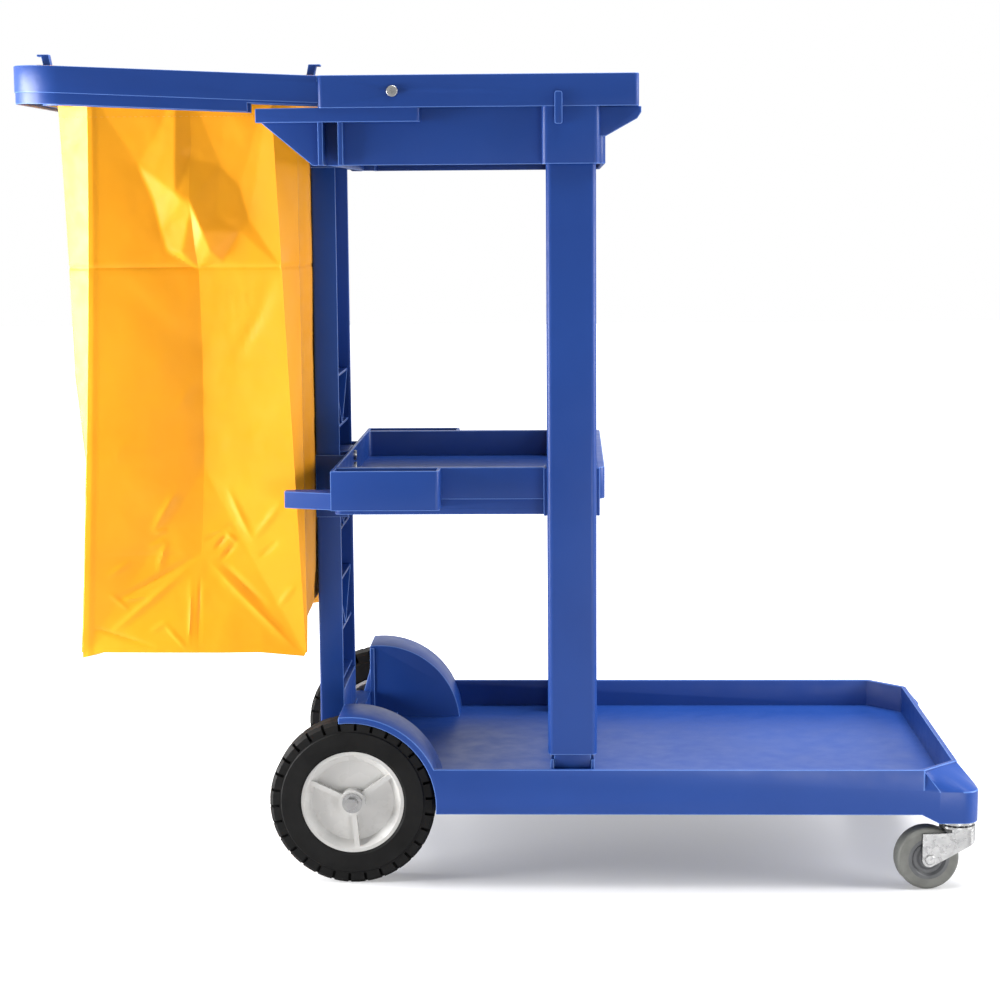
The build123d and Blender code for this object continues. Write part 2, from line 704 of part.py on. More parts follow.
def arch_trim():
    """Bead up the back edge of the right arch panel and the gusset at its foot."""
    top = AXLE_Z + sqrt(ARCH_RADIUS**2 - ARCH_REACH**2) - ARCH_WALL
    bead_front = ARCH_BEAD - ARCH_REACH
    bead = block(-ARCH_REACH, bead_front, -PANEL_IN, ARCH_BEAD_PROUD - PANEL_IN, LOW_DECK, top)
    foot = [
        (-ARCH_REACH, LIP_TOP),
        (-ARCH_REACH - ARCH_GUSSET, LIP_TOP),
        (-ARCH_REACH, LIP_TOP + ARCH_GUSSET_HEIGHT),
    ]
    return bead + side_prism(foot, -PANEL_OUT, -PANEL_IN)


def floor_ribs():
    """Stiffening ribs under the platform floor, along and across."""
    low = FLOOR_UNDER - RIB_DROP
    end = PLATFORM_LENGTH - WALL
    half = RIB_WALL / 2
    ribs = []
    for y in (-2 * DECK_RIB_Y, 0, 2 * DECK_RIB_Y):
        ribs.append(block(DECK_FRONT - WALL, end, y - half, y + half, low, FLOOR_UNDER))
    x = ARCH_RADIUS + RIB_PITCH / 2
    while x < FRONT_END - BLOCK_LENGTH:
        ribs.append(block(x - half, x + half, WALL - HALF_WIDTH, HALF_WIDTH - WALL, low, FLOOR_UNDER))
        x += RIB_PITCH
    return ribs


def deck_frames():
    """Cross walls inside the axle deck and the bosses that carry the axle."""
    half = RIB_WALL / 2
    frames = []
    step = -ARCH_REACH - WALL
    for y in (-DECK_RIB_Y, DECK_RIB_Y):
        frames.append(block(WALL - DECK_REACH, step, y - half, y + half, SKIRT_BOTTOM, LIP_TOP - WALL))
        frames.append(block(step - WALL, DECK_FRONT - WALL, y - half, y + half, SKIRT_BOTTOM, LOW_DECK - WALL))
    boss = rod_y(AXLE_BOSS_DIA, 0, AXLE_BOSS_LENGTH - PANEL_OUT, -PANEL_OUT - AXLE_BOSS_PROUD, AXLE_Z)
    return frames + both_sides(boss)


def foot_size(margin):
    """Half the length and depth of a column's foot, with a margin round it."""
    return COLUMN_LENGTH / 2 - FOOT_STEP + margin, COLUMN_DEPTH / 2 - FOOT_STEP + margin


def column_collar():
    """Socket on the platform floor round the foot of the right column, open on its outer side above a sill."""
    long, deep = foot_size(SOCKET_FIT + WALL)
    room_long, room_deep = foot_size(SOCKET_FIT)
    top = FLOOR_TOP + COLLAR_HEIGHT
    y = -COLUMN_Y
    outside = block(COLUMN_X - long, COLUMN_X + long, y - deep, y + deep, FLOOR_UNDER, top)
    back = COLUMN_X - room_long
    front = COLUMN_X + room_long
    inside = block(back, front, y - room_deep, y + room_deep, FLOOR_TOP, top + OVERCUT)
    inside += block(back, front, y - 2 * deep, y, FLOOR_TOP + COLLAR_SILL, top + OVERCUT)
    return outside - inside - screw_hole(*foot_screw_seat())


def foot_screw_seat():
    """Where the screw that holds the right column's foot sits, and which way it points."""
    deep = foot_size(SOCKET_FIT + WALL)[1]
    return (COLUMN_X, deep - COLUMN_Y, FLOOR_TOP + COLLAR_HEIGHT / 2), (0, -1, 0)


def upright_seat():
    """Plinth on the deck and the tongue that stands inside the rear upright."""
    margin = PLINTH_MARGIN
    plinth = block(
        -UPRIGHT_BACK - margin,
        UPRIGHT_FRONT + margin,
        -UPRIGHT_HALF - margin,
        UPRIGHT_HALF + margin,
        LIP_TOP - WALL,
        PLINTH_TOP,
    )
    inset = WALL + SOCKET_FIT
    tongue = block(
        inset - UPRIGHT_BACK,
        UPRIGHT_FRONT,
        inset - UPRIGHT_HALF,
        UPRIGHT_HALF - inset,
        PLINTH_TOP,
        PLINTH_TOP + TONGUE_HEIGHT,
    )
    return plinth + tongue


def upright_tongue_room():
    """The hollow inside the rear upright's tongue, open to the deck below."""
    inset = 2 * WALL + SOCKET_FIT
    return block(
        inset - UPRIGHT_BACK,
        UPRIGHT_FRONT - WALL,
        inset - UPRIGHT_HALF,
        UPRIGHT_HALF - inset,
        LIP_TOP - 2 * WALL,
        PLINTH_TOP + TONGUE_HEIGHT - WALL,
    )


def upright_screw_seats():
    """Where the two screws at the foot of the rear upright sit."""
    z = PLINTH_TOP + TONGUE_HEIGHT / 2
    return [((-UPRIGHT_BACK, y, z), (1, 0, 0)) for y in (-UPRIGHT_WIDTH / 4, UPRIGHT_WIDTH / 4)]


def base_platform():
    """One moulding: lipped platform, axle deck, wheel arches, corner blocks and post sockets."""
    bevel_inset = 2 - sqrt(2)
    base = plan_prism(cut_corner_plan(0, PLATFORM_LENGTH, HALF_WIDTH, CORNER_CUT), SKIRT_BOTTOM, LIP_TOP)
    reach = 2 * HALF_WIDTH
    base -= block(-OVERCUT, DECK_FRONT + OVERCUT, -reach, reach, LOW_DECK, LIP_TOP + OVERCUT)
    base += block(-DECK_REACH, -ARCH_REACH, -PANEL_OUT, PANEL_OUT, SKIRT_BOTTOM, LIP_TOP)
    base += block(-ARCH_REACH - WALL, DECK_FRONT, -PANEL_OUT, PANEL_OUT, SKIRT_BOTTOM, LOW_DECK)
    base += both_sides(corner_block())
    under_cut = CORNER_CUT - WALL * bevel_inset
    under = cut_corner_plan(DECK_FRONT - WALL, PLATFORM_LENGTH - WALL, HALF_WIDTH - WALL, under_cut)
    base -= plan_prism(under, BLOCK_BOTTOM - OVERCUT, FLOOR_UNDER)
    base -= both_sides(block_room())
    low = SKIRT_BOTTOM - OVERCUT
    step = -ARCH_REACH - WALL
    base -= block(WALL - DECK_REACH, step, -PANEL_IN, PANEL_IN, low, LIP_TOP - WALL)
    base -= block(step - WALL, DECK_FRONT - WALL, -PANEL_IN, PANEL_IN, low, LOW_DECK - WALL)
    tray_cut = CORNER_CUT - LIP_WALL * bevel_inset
    tray = cut_corner_plan(DECK_FRONT, PLATFORM_LENGTH - LIP_WALL, HALF_WIDTH - LIP_WALL, tray_cut)
    base -= plan_prism(tray, FLOOR_TOP, LIP_TOP + OVERCUT)
    base += both_sides(wheel_arch())
    base -= both_sides(wheel_room())
    base += both_sides(arch_flange())
    base += both_sides(arch_trim())
    base += floor_ribs()
    boss = rod_z(CASTER_BOSS_DIA, CASTER_X, -CASTER_Y, BLOCK_BOTTOM, FLOOR_UNDER)
    base += both_sides(boss)
    base += deck_frames()
    base += both_sides(column_collar())
    base += upright_seat()
    base -= upright_tongue_room()
    base -= rod_y(AXLE_DIA, 0, -HALF_WIDTH, HALF_WIDTH, AXLE_Z)
    pin_top = BLOCK_BOTTOM + KINGPIN_GRIP
    pin = rod_z(KINGPIN_DIA, CASTER_X, -CASTER_Y, BLOCK_BOTTOM - OVERCUT, pin_top)
    base -= both_sides(pin)
    base -= [screw_hole(*seat) for seat in upright_screw_seats()]
    return base


# Posts


def front_column():
    """Right front column: a hollow post with rounded edges and a narrower foot."""
    y = -COLUMN_Y
    foot_top = FLOOR_TOP + FOOT_HEIGHT
    post = rounded_block(COLUMN_BACK, COLUMN_FRONT, -COLUMN_OUT, -COLUMN_IN, foot_top, POST_TOP, COLUMN_ROUND)
    long, deep = foot_size(0)
    post += block(COLUMN_X - long, COLUMN_X + long, y - deep, y + deep, FLOOR_TOP, foot_top)
    long, deep = foot_size(-COLUMN_WALL)
    post -= block(COLUMN_X - long, COLUMN_X + long, y - deep, y + deep, FLOOR_TOP - OVERCUT, POST_TOP + OVERCUT)
    wall = COLUMN_WALL
    post -= block(
        COLUMN_BACK + wall,
        COLUMN_FRONT - wall,
        wall - COLUMN_OUT,
        -COLUMN_IN - wall,
        foot_top + wall,
        POST_TOP - wall,
    )
    holes = [screw_hole(*foot_screw_seat()), screw_hole(*middle_column_seat()), screw_hole(*top_column_seat())]
    return post - holes


def rear_upright():
    """Channel post, open to the front, with cross ribs, slanted ribs and two screw bosses."""
    back = -UPRIGHT_BACK
    post = block(back, UPRIGHT_FRONT, -UPRIGHT_HALF, UPRIGHT_HALF, PLINTH_TOP, POST_TOP)
    rear_edges = post.edges().filter_by(Axis.Z).group_by(Axis.X)[0]
    post = fillet(rear_edges, UPRIGHT_ROUND)
    inner = UPRIGHT_HALF - WALL
    post -= block(back + WALL, UPRIGHT_FRONT + OVERCUT, -inner, inner, PLINTH_TOP - OVERCUT, POST_TOP - WALL)
    low = PLINTH_TOP + TONGUE_HEIGHT + WALL
    half = RIB_WALL / 2
    face = UPRIGHT_FRONT - WALL
    levels = []
    z = MIDDLE_TOP + UPRIGHT_RIB_RISE
    while z > low:
        levels.append(z)
        z -= UPRIGHT_RIB_PITCH
    for level in levels:
        post += block(back + WALL, face, -inner, inner, level - half, level + half)
    for upper, lower in zip(levels[:-1:2], levels[1::2]):
        for side in (-1, 1):
            slant = [
                (side * half, lower),
                (side * (inner + half), upper),
                (side * (inner - half), upper),
                (-side * half, lower),
            ]
            outline = Polyline(*[(back + WALL, y, height) for y, height in slant], close=True)
            post += extrude(make_face(outline), amount=face - back - WALL, dir=(1, 0, 0))
    for centre in (middle_boss_z(), top_boss_z()):
        z0 = centre - UPRIGHT_BOSS / 2
        z1 = min(centre + UPRIGHT_BOSS / 2, POST_TOP)
        post += block(back + WALL, UPRIGHT_FRONT + UPRIGHT_BOSS_PROUD, -inner / 2, inner / 2, z0, z1)
    seats = upright_screw_seats() + middle_upright_seats() + top_upright_seats()
    return post - [screw_hole(*seat) for seat in seats]


def middle_boss_z():
    """Height of the boss that the middle shelf is screwed to, with both heads clear of the tray floor."""
    return MIDDLE_TOP - MIDDLE_SKIRT + WALL + HEAD_CLEAR + (SCREW_HEAD_DIA + SCREW_SPACING) / 2


def top_boss_z():
    """Height of the boss that the top shelf is screwed to."""
    return TRAY_UNDER + SOCKET_DEPTH / 2


# Middle shelf


def shelf_screw_x():
    """Where a shelf's back wall takes a screw head."""
    return SHELF_BACK + WALL


def middle_upright_seats():
    """The two screws, one above the other, through the middle shelf's back wall."""
    spread = SCREW_SPACING / 2
    z = middle_boss_z()
    return [((shelf_screw_x(), 0, z + dz), (-1, 0, 0)) for dz in (-spread, spread)]


def middle_column_seat():
    """The screw from the middle shelf into the right column."""
    y = -COLUMN_IN + SOCKET_FIT + WALL
    return (COLUMN_X, y, MIDDLE_TOP - MIDDLE_SKIRT / 2), (0, -1, 0)


def column_clamp(z0, z1, outer):
    """Solid round the right column's inner side, out to a given distance from the middle."""
    margin = SOCKET_FIT + WALL
    return block(COLUMN_BACK - margin, COLUMN_FRONT + margin, -outer, margin - COLUMN_IN, z0, z1)


def column_room(z0, z1):
    """The room for the right column, with its fit."""
    fit = SOCKET_FIT
    return block(COLUMN_BACK - fit, COLUMN_FRONT + fit, -2 * HALF_WIDTH, fit - COLUMN_IN, z0, z1)


def side_pocket():
    """Right side pocket of the middle shelf as a solid, and the room inside it, open on top."""
    front = SHELF_BACK + POCKET_LENGTH
    root = WALL / 2 - MIDDLE_LOW_HALF
    shell = block(SHELF_BACK, front, -POCKET_OUT, root, POCKET_UNDER, MIDDLE_TOP)
    room = block(
        SHELF_BACK + WALL,
        front - WALL,
        WALL - POCKET_OUT,
        -MIDDLE_HALF,
        POCKET_UNDER + WALL,
        MIDDLE_TOP + OVERCUT,
    )
    return fillet(front_corner(shell), POCKET_CORNER), fillet(front_corner(room), POCKET_CORNER - WALL)


def front_corner(solid):
    """The upright edge at the front outer corner of a form on the right side."""
    return solid.edges().filter_by(Axis.Z).group_by(Axis.X)[-1].sort_by(Axis.Y)[0]


def side_arm():
    """Tapered arm that reaches back from the right side pocket, hollow below."""
    inner = ARM_INSET - MIDDLE_HALF
    low = POCKET_UNDER + ARM_RAISED
    top = low + ARM_HEIGHT
    root = SHELF_BACK + WALL / 2
    tip = SHELF_BACK - ARM_REACH
    outside = [(root, inner), (root, -POCKET_OUT), (tip, inner - ARM_TIP), (tip, inner)]
    inside = [
        (SHELF_BACK, inner - WALL),
        (SHELF_BACK, WALL - POCKET_OUT),
        (tip + WALL, inner - ARM_TIP + WALL),
        (tip + WALL, inner - WALL),
    ]
    arm = plan_prism(outside, low, top)
    arm = fillet(arm.edges().filter_by(Axis.Z).group_by(Axis.X)[0], WALL / 2)
    return arm - plan_prism(inside, low - OVERCUT, top - WALL)


def shelf_yoke(z0, z1):
    """Cheeks behind a shelf that hold the rear upright between them."""
    inner = UPRIGHT_HALF + SOCKET_FIT
    cheek = block(-UPRIGHT_BACK, SHELF_BACK + WALL, -inner - WALL, -inner, z0, z1)
    return both_sides(cheek)


def middle_shelf():
    """Tray with a stepped skirt, column clamps, a yoke for the upright, side pockets and arms."""
    step_z = MIDDLE_TOP - MIDDLE_SKIRT
    low_half = MIDDLE_LOW_HALF
    front = MIDDLE_FRONT
    shelf = rounded_block(SHELF_BACK, front, -MIDDLE_HALF, MIDDLE_HALF, step_z, MIDDLE_TOP, MIDDLE_CORNER)
    low_front = front - MIDDLE_STEP
    shelf += rounded_block(SHELF_BACK, low_front, -low_half, low_half, MIDDLE_UNDER, step_z, MIDDLE_CORNER)
    clamp = column_clamp(MIDDLE_UNDER, MIDDLE_TOP, MIDDLE_HALF + CLAMP_PROUD)
    inner = low_half - WALL
    hollow = (SHELF_BACK + WALL, low_front - WALL, -inner, inner)
    shelf -= rounded_block(*hollow, step_z + WALL, MIDDLE_TOP + OVERCUT, MIDDLE_CORNER - WALL)
    shelf -= rounded_block(*hollow, MIDDLE_UNDER - OVERCUT, step_z, MIDDLE_CORNER - WALL)
    shelf += both_sides(clamp)
    shelf -= both_sides(column_room(MIDDLE_UNDER - OVERCUT, MIDDLE_TOP + OVERCUT))
    pocket, pocket_room = side_pocket()
    shelf += both_sides(pocket)
    shelf -= both_sides(pocket_room)
    shelf += both_sides(side_arm())
    shelf += shelf_yoke(MIDDLE_UNDER - YOKE_DROP, MIDDLE_TOP)
    seats = middle_upright_seats() + [middle_column_seat()]
    holes = [screw_hole(*seat) for seat in seats]
    return shelf - holes - other_side(screw_hole(*middle_column_seat()))


# Top shelf


def top_upright_seats():
    """The two screws through the top shelf's back wall into the upright."""
    z = top_boss_z()
    return [((shelf_screw_x(), y, z), (-1, 0, 0)) for y in (-UPRIGHT_WIDTH / 8, UPRIGHT_WIDTH / 8)]


def top_column_seat():
    """The screw from the top shelf into the right column."""
    return (COLUMN_X, -COLUMN_IN + SOCKET_FIT + WALL, TRAY_UNDER + SOCKET_DEPTH / 2), (0, -1, 0)


def frame_screw_seat():
    """The screw through the rim that holds the right end of the bag frame."""
    return (FRAME_SCREW_X, -HALF_WIDTH, tongue_middle()), (0, 1, 0)


def tongue_middle():
    """Height of the middle of the bag frame's tongues inside the rim."""
    return TOP_HEIGHT - RIM_DEPTH / 2


def top_cheek():
    """Right cheek that reaches back under the bag frame, with the band along its top."""
    band_low = RIM_UNDER - TOP_BAND_HEIGHT
    cheek = [
        (-CHEEK_REACH, RIM_UNDER),
        (-CHEEK_REACH, band_low + BAND_END),
        (-CHEEK_REACH + BAND_END, band_low),
        (-CHEEK_FOOT, TRAY_UNDER),
        (SHELF_BACK + WALL, TRAY_UNDER),
        (SHELF_BACK + WALL, RIM_UNDER),
    ]
    plate = side_prism(cheek, -TRAY_HALF, WALL - TRAY_HALF)
    band = block(-CHEEK_REACH, BAND_LENGTH - CHEEK_REACH, -BAND_OUT, -TRAY_HALF, band_low, RIM_UNDER)
    return plate + fillet(front_corner(band), WALL)


def side_slot():
    """Right side slot near the back of the top shelf: its two ribs and its inner walls."""
    band_low = RIM_UNDER - TOP_BAND_HEIGHT
    front = SLOT_LENGTH - SLOT_BACK
    outer = -TRAY_HALF - SLOT_RIB_PROUD
    ribs = block(-SLOT_BACK - SLOT_RIB, -SLOT_BACK, outer, -TRAY_HALF, TRAY_UNDER, band_low)
    ribs += block(front, front + SLOT_RIB, outer, -TRAY_HALF, TRAY_UNDER, band_low)
    back = -SLOT_BACK - WALL
    lining = block(back, front + WALL, -TRAY_HALF, SLOT_DEPTH + WALL - TRAY_HALF, TRAY_UNDER, RIM_UNDER)
    room = block(-SLOT_BACK, front, -HALF_WIDTH, SLOT_DEPTH - TRAY_HALF, TRAY_UNDER - OVERCUT, band_low)
    return ribs, lining, room


def front_wing():
    """Right wing under the overhang of the rim, in front of the column."""
    tip = RIM_FRONT + WING_REACH
    root = COLUMN_FRONT + SOCKET_FIT + WALL / 2
    outline = [
        (root, RIM_UNDER),
        (tip, RIM_UNDER),
        (tip, RIM_UNDER - WING_TIP / 2),
        (tip - WING_TIP / 3, RIM_UNDER - WING_TIP),
        (TRAY_FRONT, RIM_UNDER - WING_DROP),
        (root, RIM_UNDER - WING_DROP),
    ]
    outer = -TRAY_HALF - WING_WALL / 2
    return side_prism(outline, outer, outer + WING_WALL)


def rim_peg():
    """Small upright peg on the right side, over the column."""
    top = TOP_HEIGHT - PEG_TOP_DROP
    outer = -HALF_WIDTH - BLOCK_SIDE_PROUD
    x = COLUMN_X - PEG_BACK
    half = PEG_WIDTH / 2
    peg = block(x - half, x + half, outer, RIM_WALL - HALF_WIDTH, top - PEG_LENGTH, top)
    return fillet(peg.edges().filter_by(Axis.Y), PEG_WIDTH / 3)


def top_shelf():
    """Deep tray under a wide hollow rim, with column sockets, cheeks, side slots and a yoke."""
    shelf = rounded_block(-RIM_BACK, RIM_FRONT, -HALF_WIDTH, HALF_WIDTH, RIM_UNDER, TOP_HEIGHT, RIM_ROUND)
    rim_room = block(
        RIM_WALL - RIM_BACK,
        RIM_FRONT - RIM_WALL,
        RIM_WALL - HALF_WIDTH,
        HALF_WIDTH - RIM_WALL,
        RIM_UNDER - OVERCUT,
        TOP_HEIGHT - RIM_WALL,
    )
    shelf -= rim_room
    body = block(SHELF_BACK, TRAY_FRONT, -TRAY_HALF, TRAY_HALF, TRAY_UNDER, TOP_HEIGHT)
    shelf += fillet(body.edges().filter_by(Axis.Z).group_by(Axis.X)[-1], TRAY_CORNER)
    inner = TRAY_HALF - WALL
    hollow = (SHELF_BACK + WALL, TRAY_FRONT - WALL, -inner, inner)
    floor = TRAY_UNDER + TRAY_SKIRT
    shelf -= rounded_block(*hollow, floor + WALL, TOP_HEIGHT + OVERCUT, TRAY_CORNER - WALL)
    shelf -= rounded_block(*hollow, TRAY_UNDER - OVERCUT, floor, TRAY_CORNER - WALL)
    shelf += both_sides(top_cheek())
    ribs, lining, slot_room = side_slot()
    shelf += both_sides(ribs + lining)
    shelf -= both_sides(slot_room)
    socket = column_clamp(TRAY_UNDER, RIM_UNDER + WALL, BAND_OUT)
    shelf += both_sides(fillet(socket.edges().filter_by(Axis.Z).group_by(Axis.Y)[0], SOCKET_ROUND))
    fit = SOCKET_FIT
    room = block(
        COLUMN_BACK - fit,
        COLUMN_FRONT + fit,
        -COLUMN_OUT - fit,
        fit - COLUMN_IN,
        TRAY_UNDER - OVERCUT,
        POST_TOP,
    )
    shelf -= both_sides(room)
    shelf += front_wing()
    shelf += both_sides(rim_peg())
    shelf += shelf_yoke(TRAY_UNDER, POST_TOP + WALL)
    half = UPRIGHT_HALF + SOCKET_FIT
    shelf += block(-UPRIGHT_BACK, SHELF_BACK, -half, half, POST_TOP, POST_TOP + WALL)
    inlet = loop_arm_room()
    shelf -= both_sides(inlet)
    shelf -= [screw_hole(*seat) for seat in top_upright_seats()]
    shelf -= both_sides(screw_hole(*top_column_seat()))
    return shelf - both_sides(screw_hole(*frame_screw_seat()))


def loop_arm_room():
    """The opening in the back of the rim that the right tongue of the bag frame passes through."""
    fit = SOCKET_FIT
    middle = tongue_middle()
    inner = LOOP_HALF - ARM_TONGUE_WALL - fit
    return block(
        -RIM_BACK - OVERCUT,
        OVERCUT + RIM_WALL - RIM_BACK,
        -LOOP_HALF - fit,
        -inner,
        middle - ARM_TONGUE_HEIGHT / 2 - fit,
        middle + ARM_TONGUE_HEIGHT / 2 + fit,
    )


# Bag frame


def loop_top(x):
    """Height of the loop's upper face at a place along X."""
    return TOP_HEIGHT + (-RIM_BACK - x) * tan(radians(LOOP_TILT))


def tilted_band(x0, x1, upper, lower):
    """A slab across the cart that follows the loop's tilt, between two distances below its upper face."""
    points = [
        (x0, loop_top(x0) - upper),
        (x1, loop_top(x1) - upper),
        (x1, loop_top(x1) - lower),
        (x0, loop_top(x0) - lower),
    ]
    return side_prism(points, -2 * HALF_WIDTH, 2 * HALF_WIDTH)


def loop_plan(inset, front):
    """Plan of the loop, filled in, drawn in by an inset and open at a front line."""
    half = LOOP_HALF - inset
    back = inset - LOOP_REACH
    solid = block(back, front, -half, half, RIM_UNDER - LOOP_HEIGHT, TOP_HEIGHT + 2 * LOOP_HEIGHT)
    corners = solid.edges().filter_by(Axis.Z).group_by(Axis.X)[0]
    return fillet(corners, LOOP_CORNER - inset)


def bag_hook(x, direction):
    """One bag hook on the right arm: a leaning stem with a tip that points away from the bag."""
    half = HOOK_WALL / 2
    low = loop_top(x) - LOOP_WALL
    top = loop_top(x) + HOOK_HEIGHT
    lean = direction * HOOK_LEAN
    tip = direction * (half + HOOK_TIP)
    outline = [
        (x - direction * half, low),
        (x + direction * half, low),
        (x + direction * half + lean, top - HOOK_TIP_WALL),
        (x + tip + lean, top - HOOK_TIP_WALL),
        (x + tip + lean, top),
        (x - direction * half + lean, top),
    ]
    return side_prism(outline, -HOOK_Y - HOOK_WIDTH / 2, -HOOK_Y + HOOK_WIDTH / 2)


def loop_tongue():
    """Right tongue of the bag frame, which slides into the hollow rim of the top shelf."""
    middle = tongue_middle()
    return block(
        -RIM_BACK - SOCKET_FIT - LOOP_WALL,
        TONGUE_END,
        -LOOP_HALF,
        ARM_TONGUE_WALL - LOOP_HALF,
        middle - ARM_TONGUE_HEIGHT / 2,
        middle + ARM_TONGUE_HEIGHT / 2,
    )


def bag_frame():
    """U-shaped loop, hollow below, tilted up to the back, with hooks and two tongues."""
    front = -RIM_BACK - SOCKET_FIT
    ring = loop_plan(0, front) - loop_plan(LOOP_BAR, front + OVERCUT)
    ring &= tilted_band(-LOOP_REACH - OVERCUT, front, 0, LOOP_HEIGHT)
    skin = loop_plan(-OVERCUT, front + OVERCUT) - loop_plan(LOOP_STEP, front + 2 * OVERCUT)
    step_drop = LOOP_HEIGHT - LOOP_STEP_HEIGHT
    ring -= skin & tilted_band(-LOOP_REACH - 2 * OVERCUT, front + OVERCUT, step_drop, 2 * LOOP_HEIGHT)
    room = loop_plan(LOOP_WALL, front - LOOP_WALL) - loop_plan(LOOP_BAR - LOOP_WALL, front)
    room &= tilted_band(-LOOP_REACH - OVERCUT, front, LOOP_WALL, 2 * LOOP_HEIGHT)
    frame = ring - room
    webs = []
    x = LOOP_CORNER - LOOP_REACH
    while x < -NOTCH_FRONT:
        webs.append(block(x, x + LOOP_WALL, -HALF_WIDTH, HALF_WIDTH, 0, 2 * TOP_HEIGHT))
        x += LOOP_RIB_PITCH
    y = 0.0
    while y < LOOP_HALF - LOOP_CORNER:
        web = block(-2 * LOOP_REACH, LOOP_BAR - LOOP_REACH, y, y + LOOP_WALL, 0, 2 * TOP_HEIGHT)
        webs += both_sides(web)
        y += LOOP_RIB_PITCH
    web_room = room & tilted_band(-LOOP_REACH - OVERCUT, front, 0, LOOP_HEIGHT - LOOP_WALL)
    frame += [web_room & web for web in webs]
    frame -= tilted_band(-NOTCH_FRONT, front + OVERCUT, LOOP_HEIGHT - NOTCH_DEPTH, 2 * LOOP_HEIGHT)
    frame += both_sides(bag_hook(-REAR_HOOK_X, -1) + bag_hook(-FRONT_HOOK_X, 1))
    frame += both_sides(loop_tongue())
    return frame - both_sides(screw_hole(*frame_screw_seat()))


# Waste bag


def bag_plan(back, front, half, rear_cut, front_cut, side_cut, inset, z):
    """A bag section: a rectangle with cut corners, drawn in by an inset, at a height."""
    x0 = -back + inset
    x1 = -front - inset
    y = half - inset
    right = [
        (x0, side_cut - y),
        (x0 + rear_cut, -y),
        (x1 - front_cut, -y),
        (x1, side_cut - y),
    ]
    left = [(px, -py) for px, py in reversed(right)]
    return make_face(Polyline(*[(px, py, z) for px, py in right + left], close=True))


def bag_hem(inset):
    """The section at the bag's hem."""
    return bag_plan(BAG_BACK, BAG_FRONT, BAG_HALF, BAG_REAR_CUT, BAG_FRONT_CUT, BAG_SIDE_CUT, inset, BAG_TOP)


def bag_body(inset, z):
    """The bag's outer form, or its inside when drawn in, lofted straight from the hem to a foot."""
    back = BAG_BACK - BAG_BACK_TAPER
    front = BAG_FRONT - BAG_FRONT_TAPER
    half = BAG_HALF - BAG_SIDE_TAPER
    foot = bag_plan(back, front, half, BAG_FOOT_CUT, BAG_FOOT_CUT, BAG_FOOT_CUT, inset, z)
    return loft([foot, bag_hem(inset)], ruled=True)


def bag_tab(hook_x, corner_x, corner_y):
    """Right-hand tab from the bag's cut corner, over the loop and round a hook."""
    hook = Vector(hook_x, -HOOK_Y)
    corner = Vector(corner_x, corner_y)
    along = (hook - corner).normalized()
    across = Vector(-along.Y, along.X) * (TAB_WIDTH / 2)
    end = hook + along * TAB_END
    root = corner - along * BAG_WALL
    strip = [root + across, root - across, end - across, end + across]
    points = [(p.X, p.Y) for p in strip]
    reach = TAB_WIDTH + TAB_END
    x0 = min(p.X for p in strip) - reach
    x1 = max(p.X for p in strip) + reach
    flat = plan_prism(points, BAG_TOP - TAB_DROP, 2 * TOP_HEIGHT)
    flat &= tilted_band(x0, x1, -TAB_LIFT - TAB_WALL, -TAB_LIFT)
    rise = [root + across, root - across, corner - across, corner + across]
    riser = plan_prism([(p.X, p.Y) for p in rise], BAG_TOP - TAB_DROP, 2 * TOP_HEIGHT)
    riser &= tilted_band(x0, x1, -TAB_LIFT - TAB_WALL, LOOP_HEIGHT)
    fit = 2 * SOCKET_FIT
    lean = HOOK_LEAN * (LOOP_WALL + TAB_LIFT + TAB_WALL) / (LOOP_WALL + HOOK_HEIGHT - HOOK_TIP_WALL)
    hole = block(
        hook_x - HOOK_WALL / 2 - fit - lean,
        hook_x + HOOK_WALL / 2 + fit + lean,
        -HOOK_Y - HOOK_WIDTH / 2 - fit,
        -HOOK_Y + HOOK_WIDTH / 2 + fit,
        BAG_TOP - TAB_DROP,
        2 * TOP_HEIGHT,
    )
    return flat + riser - hole


def waste_bag():
    """Open-topped bag with cut corners at the hem, hung by four tabs."""
    mouth = extrude(bag_hem(BAG_WALL), amount=OVERCUT, dir=(0, 0, 1))
    shell = bag_body(0, BAG_BOTTOM)
    shell -= bag_body(BAG_WALL, BAG_BOTTOM + BAG_WALL) + mouth
    y = BAG_SIDE_CUT / 2 - BAG_HALF
    rear_x = BAG_REAR_CUT / 2 - BAG_BACK
    front_x = -BAG_FRONT - BAG_FRONT_CUT / 2
    tabs = both_sides(bag_tab(-REAR_HOOK_X, rear_x, y)) + both_sides(bag_tab(-FRONT_HOOK_X, front_x, y))
    return shell + tabs


# Assembly


def screw_group(seats, mirrored):
    """Screws at the given seats, doubled on the other side where they are mirrored."""
    screws = [pan_screw(*seat) for seat in seats]
    if mirrored:
        screws += [other_side(screw) for screw in screws]
    return screws


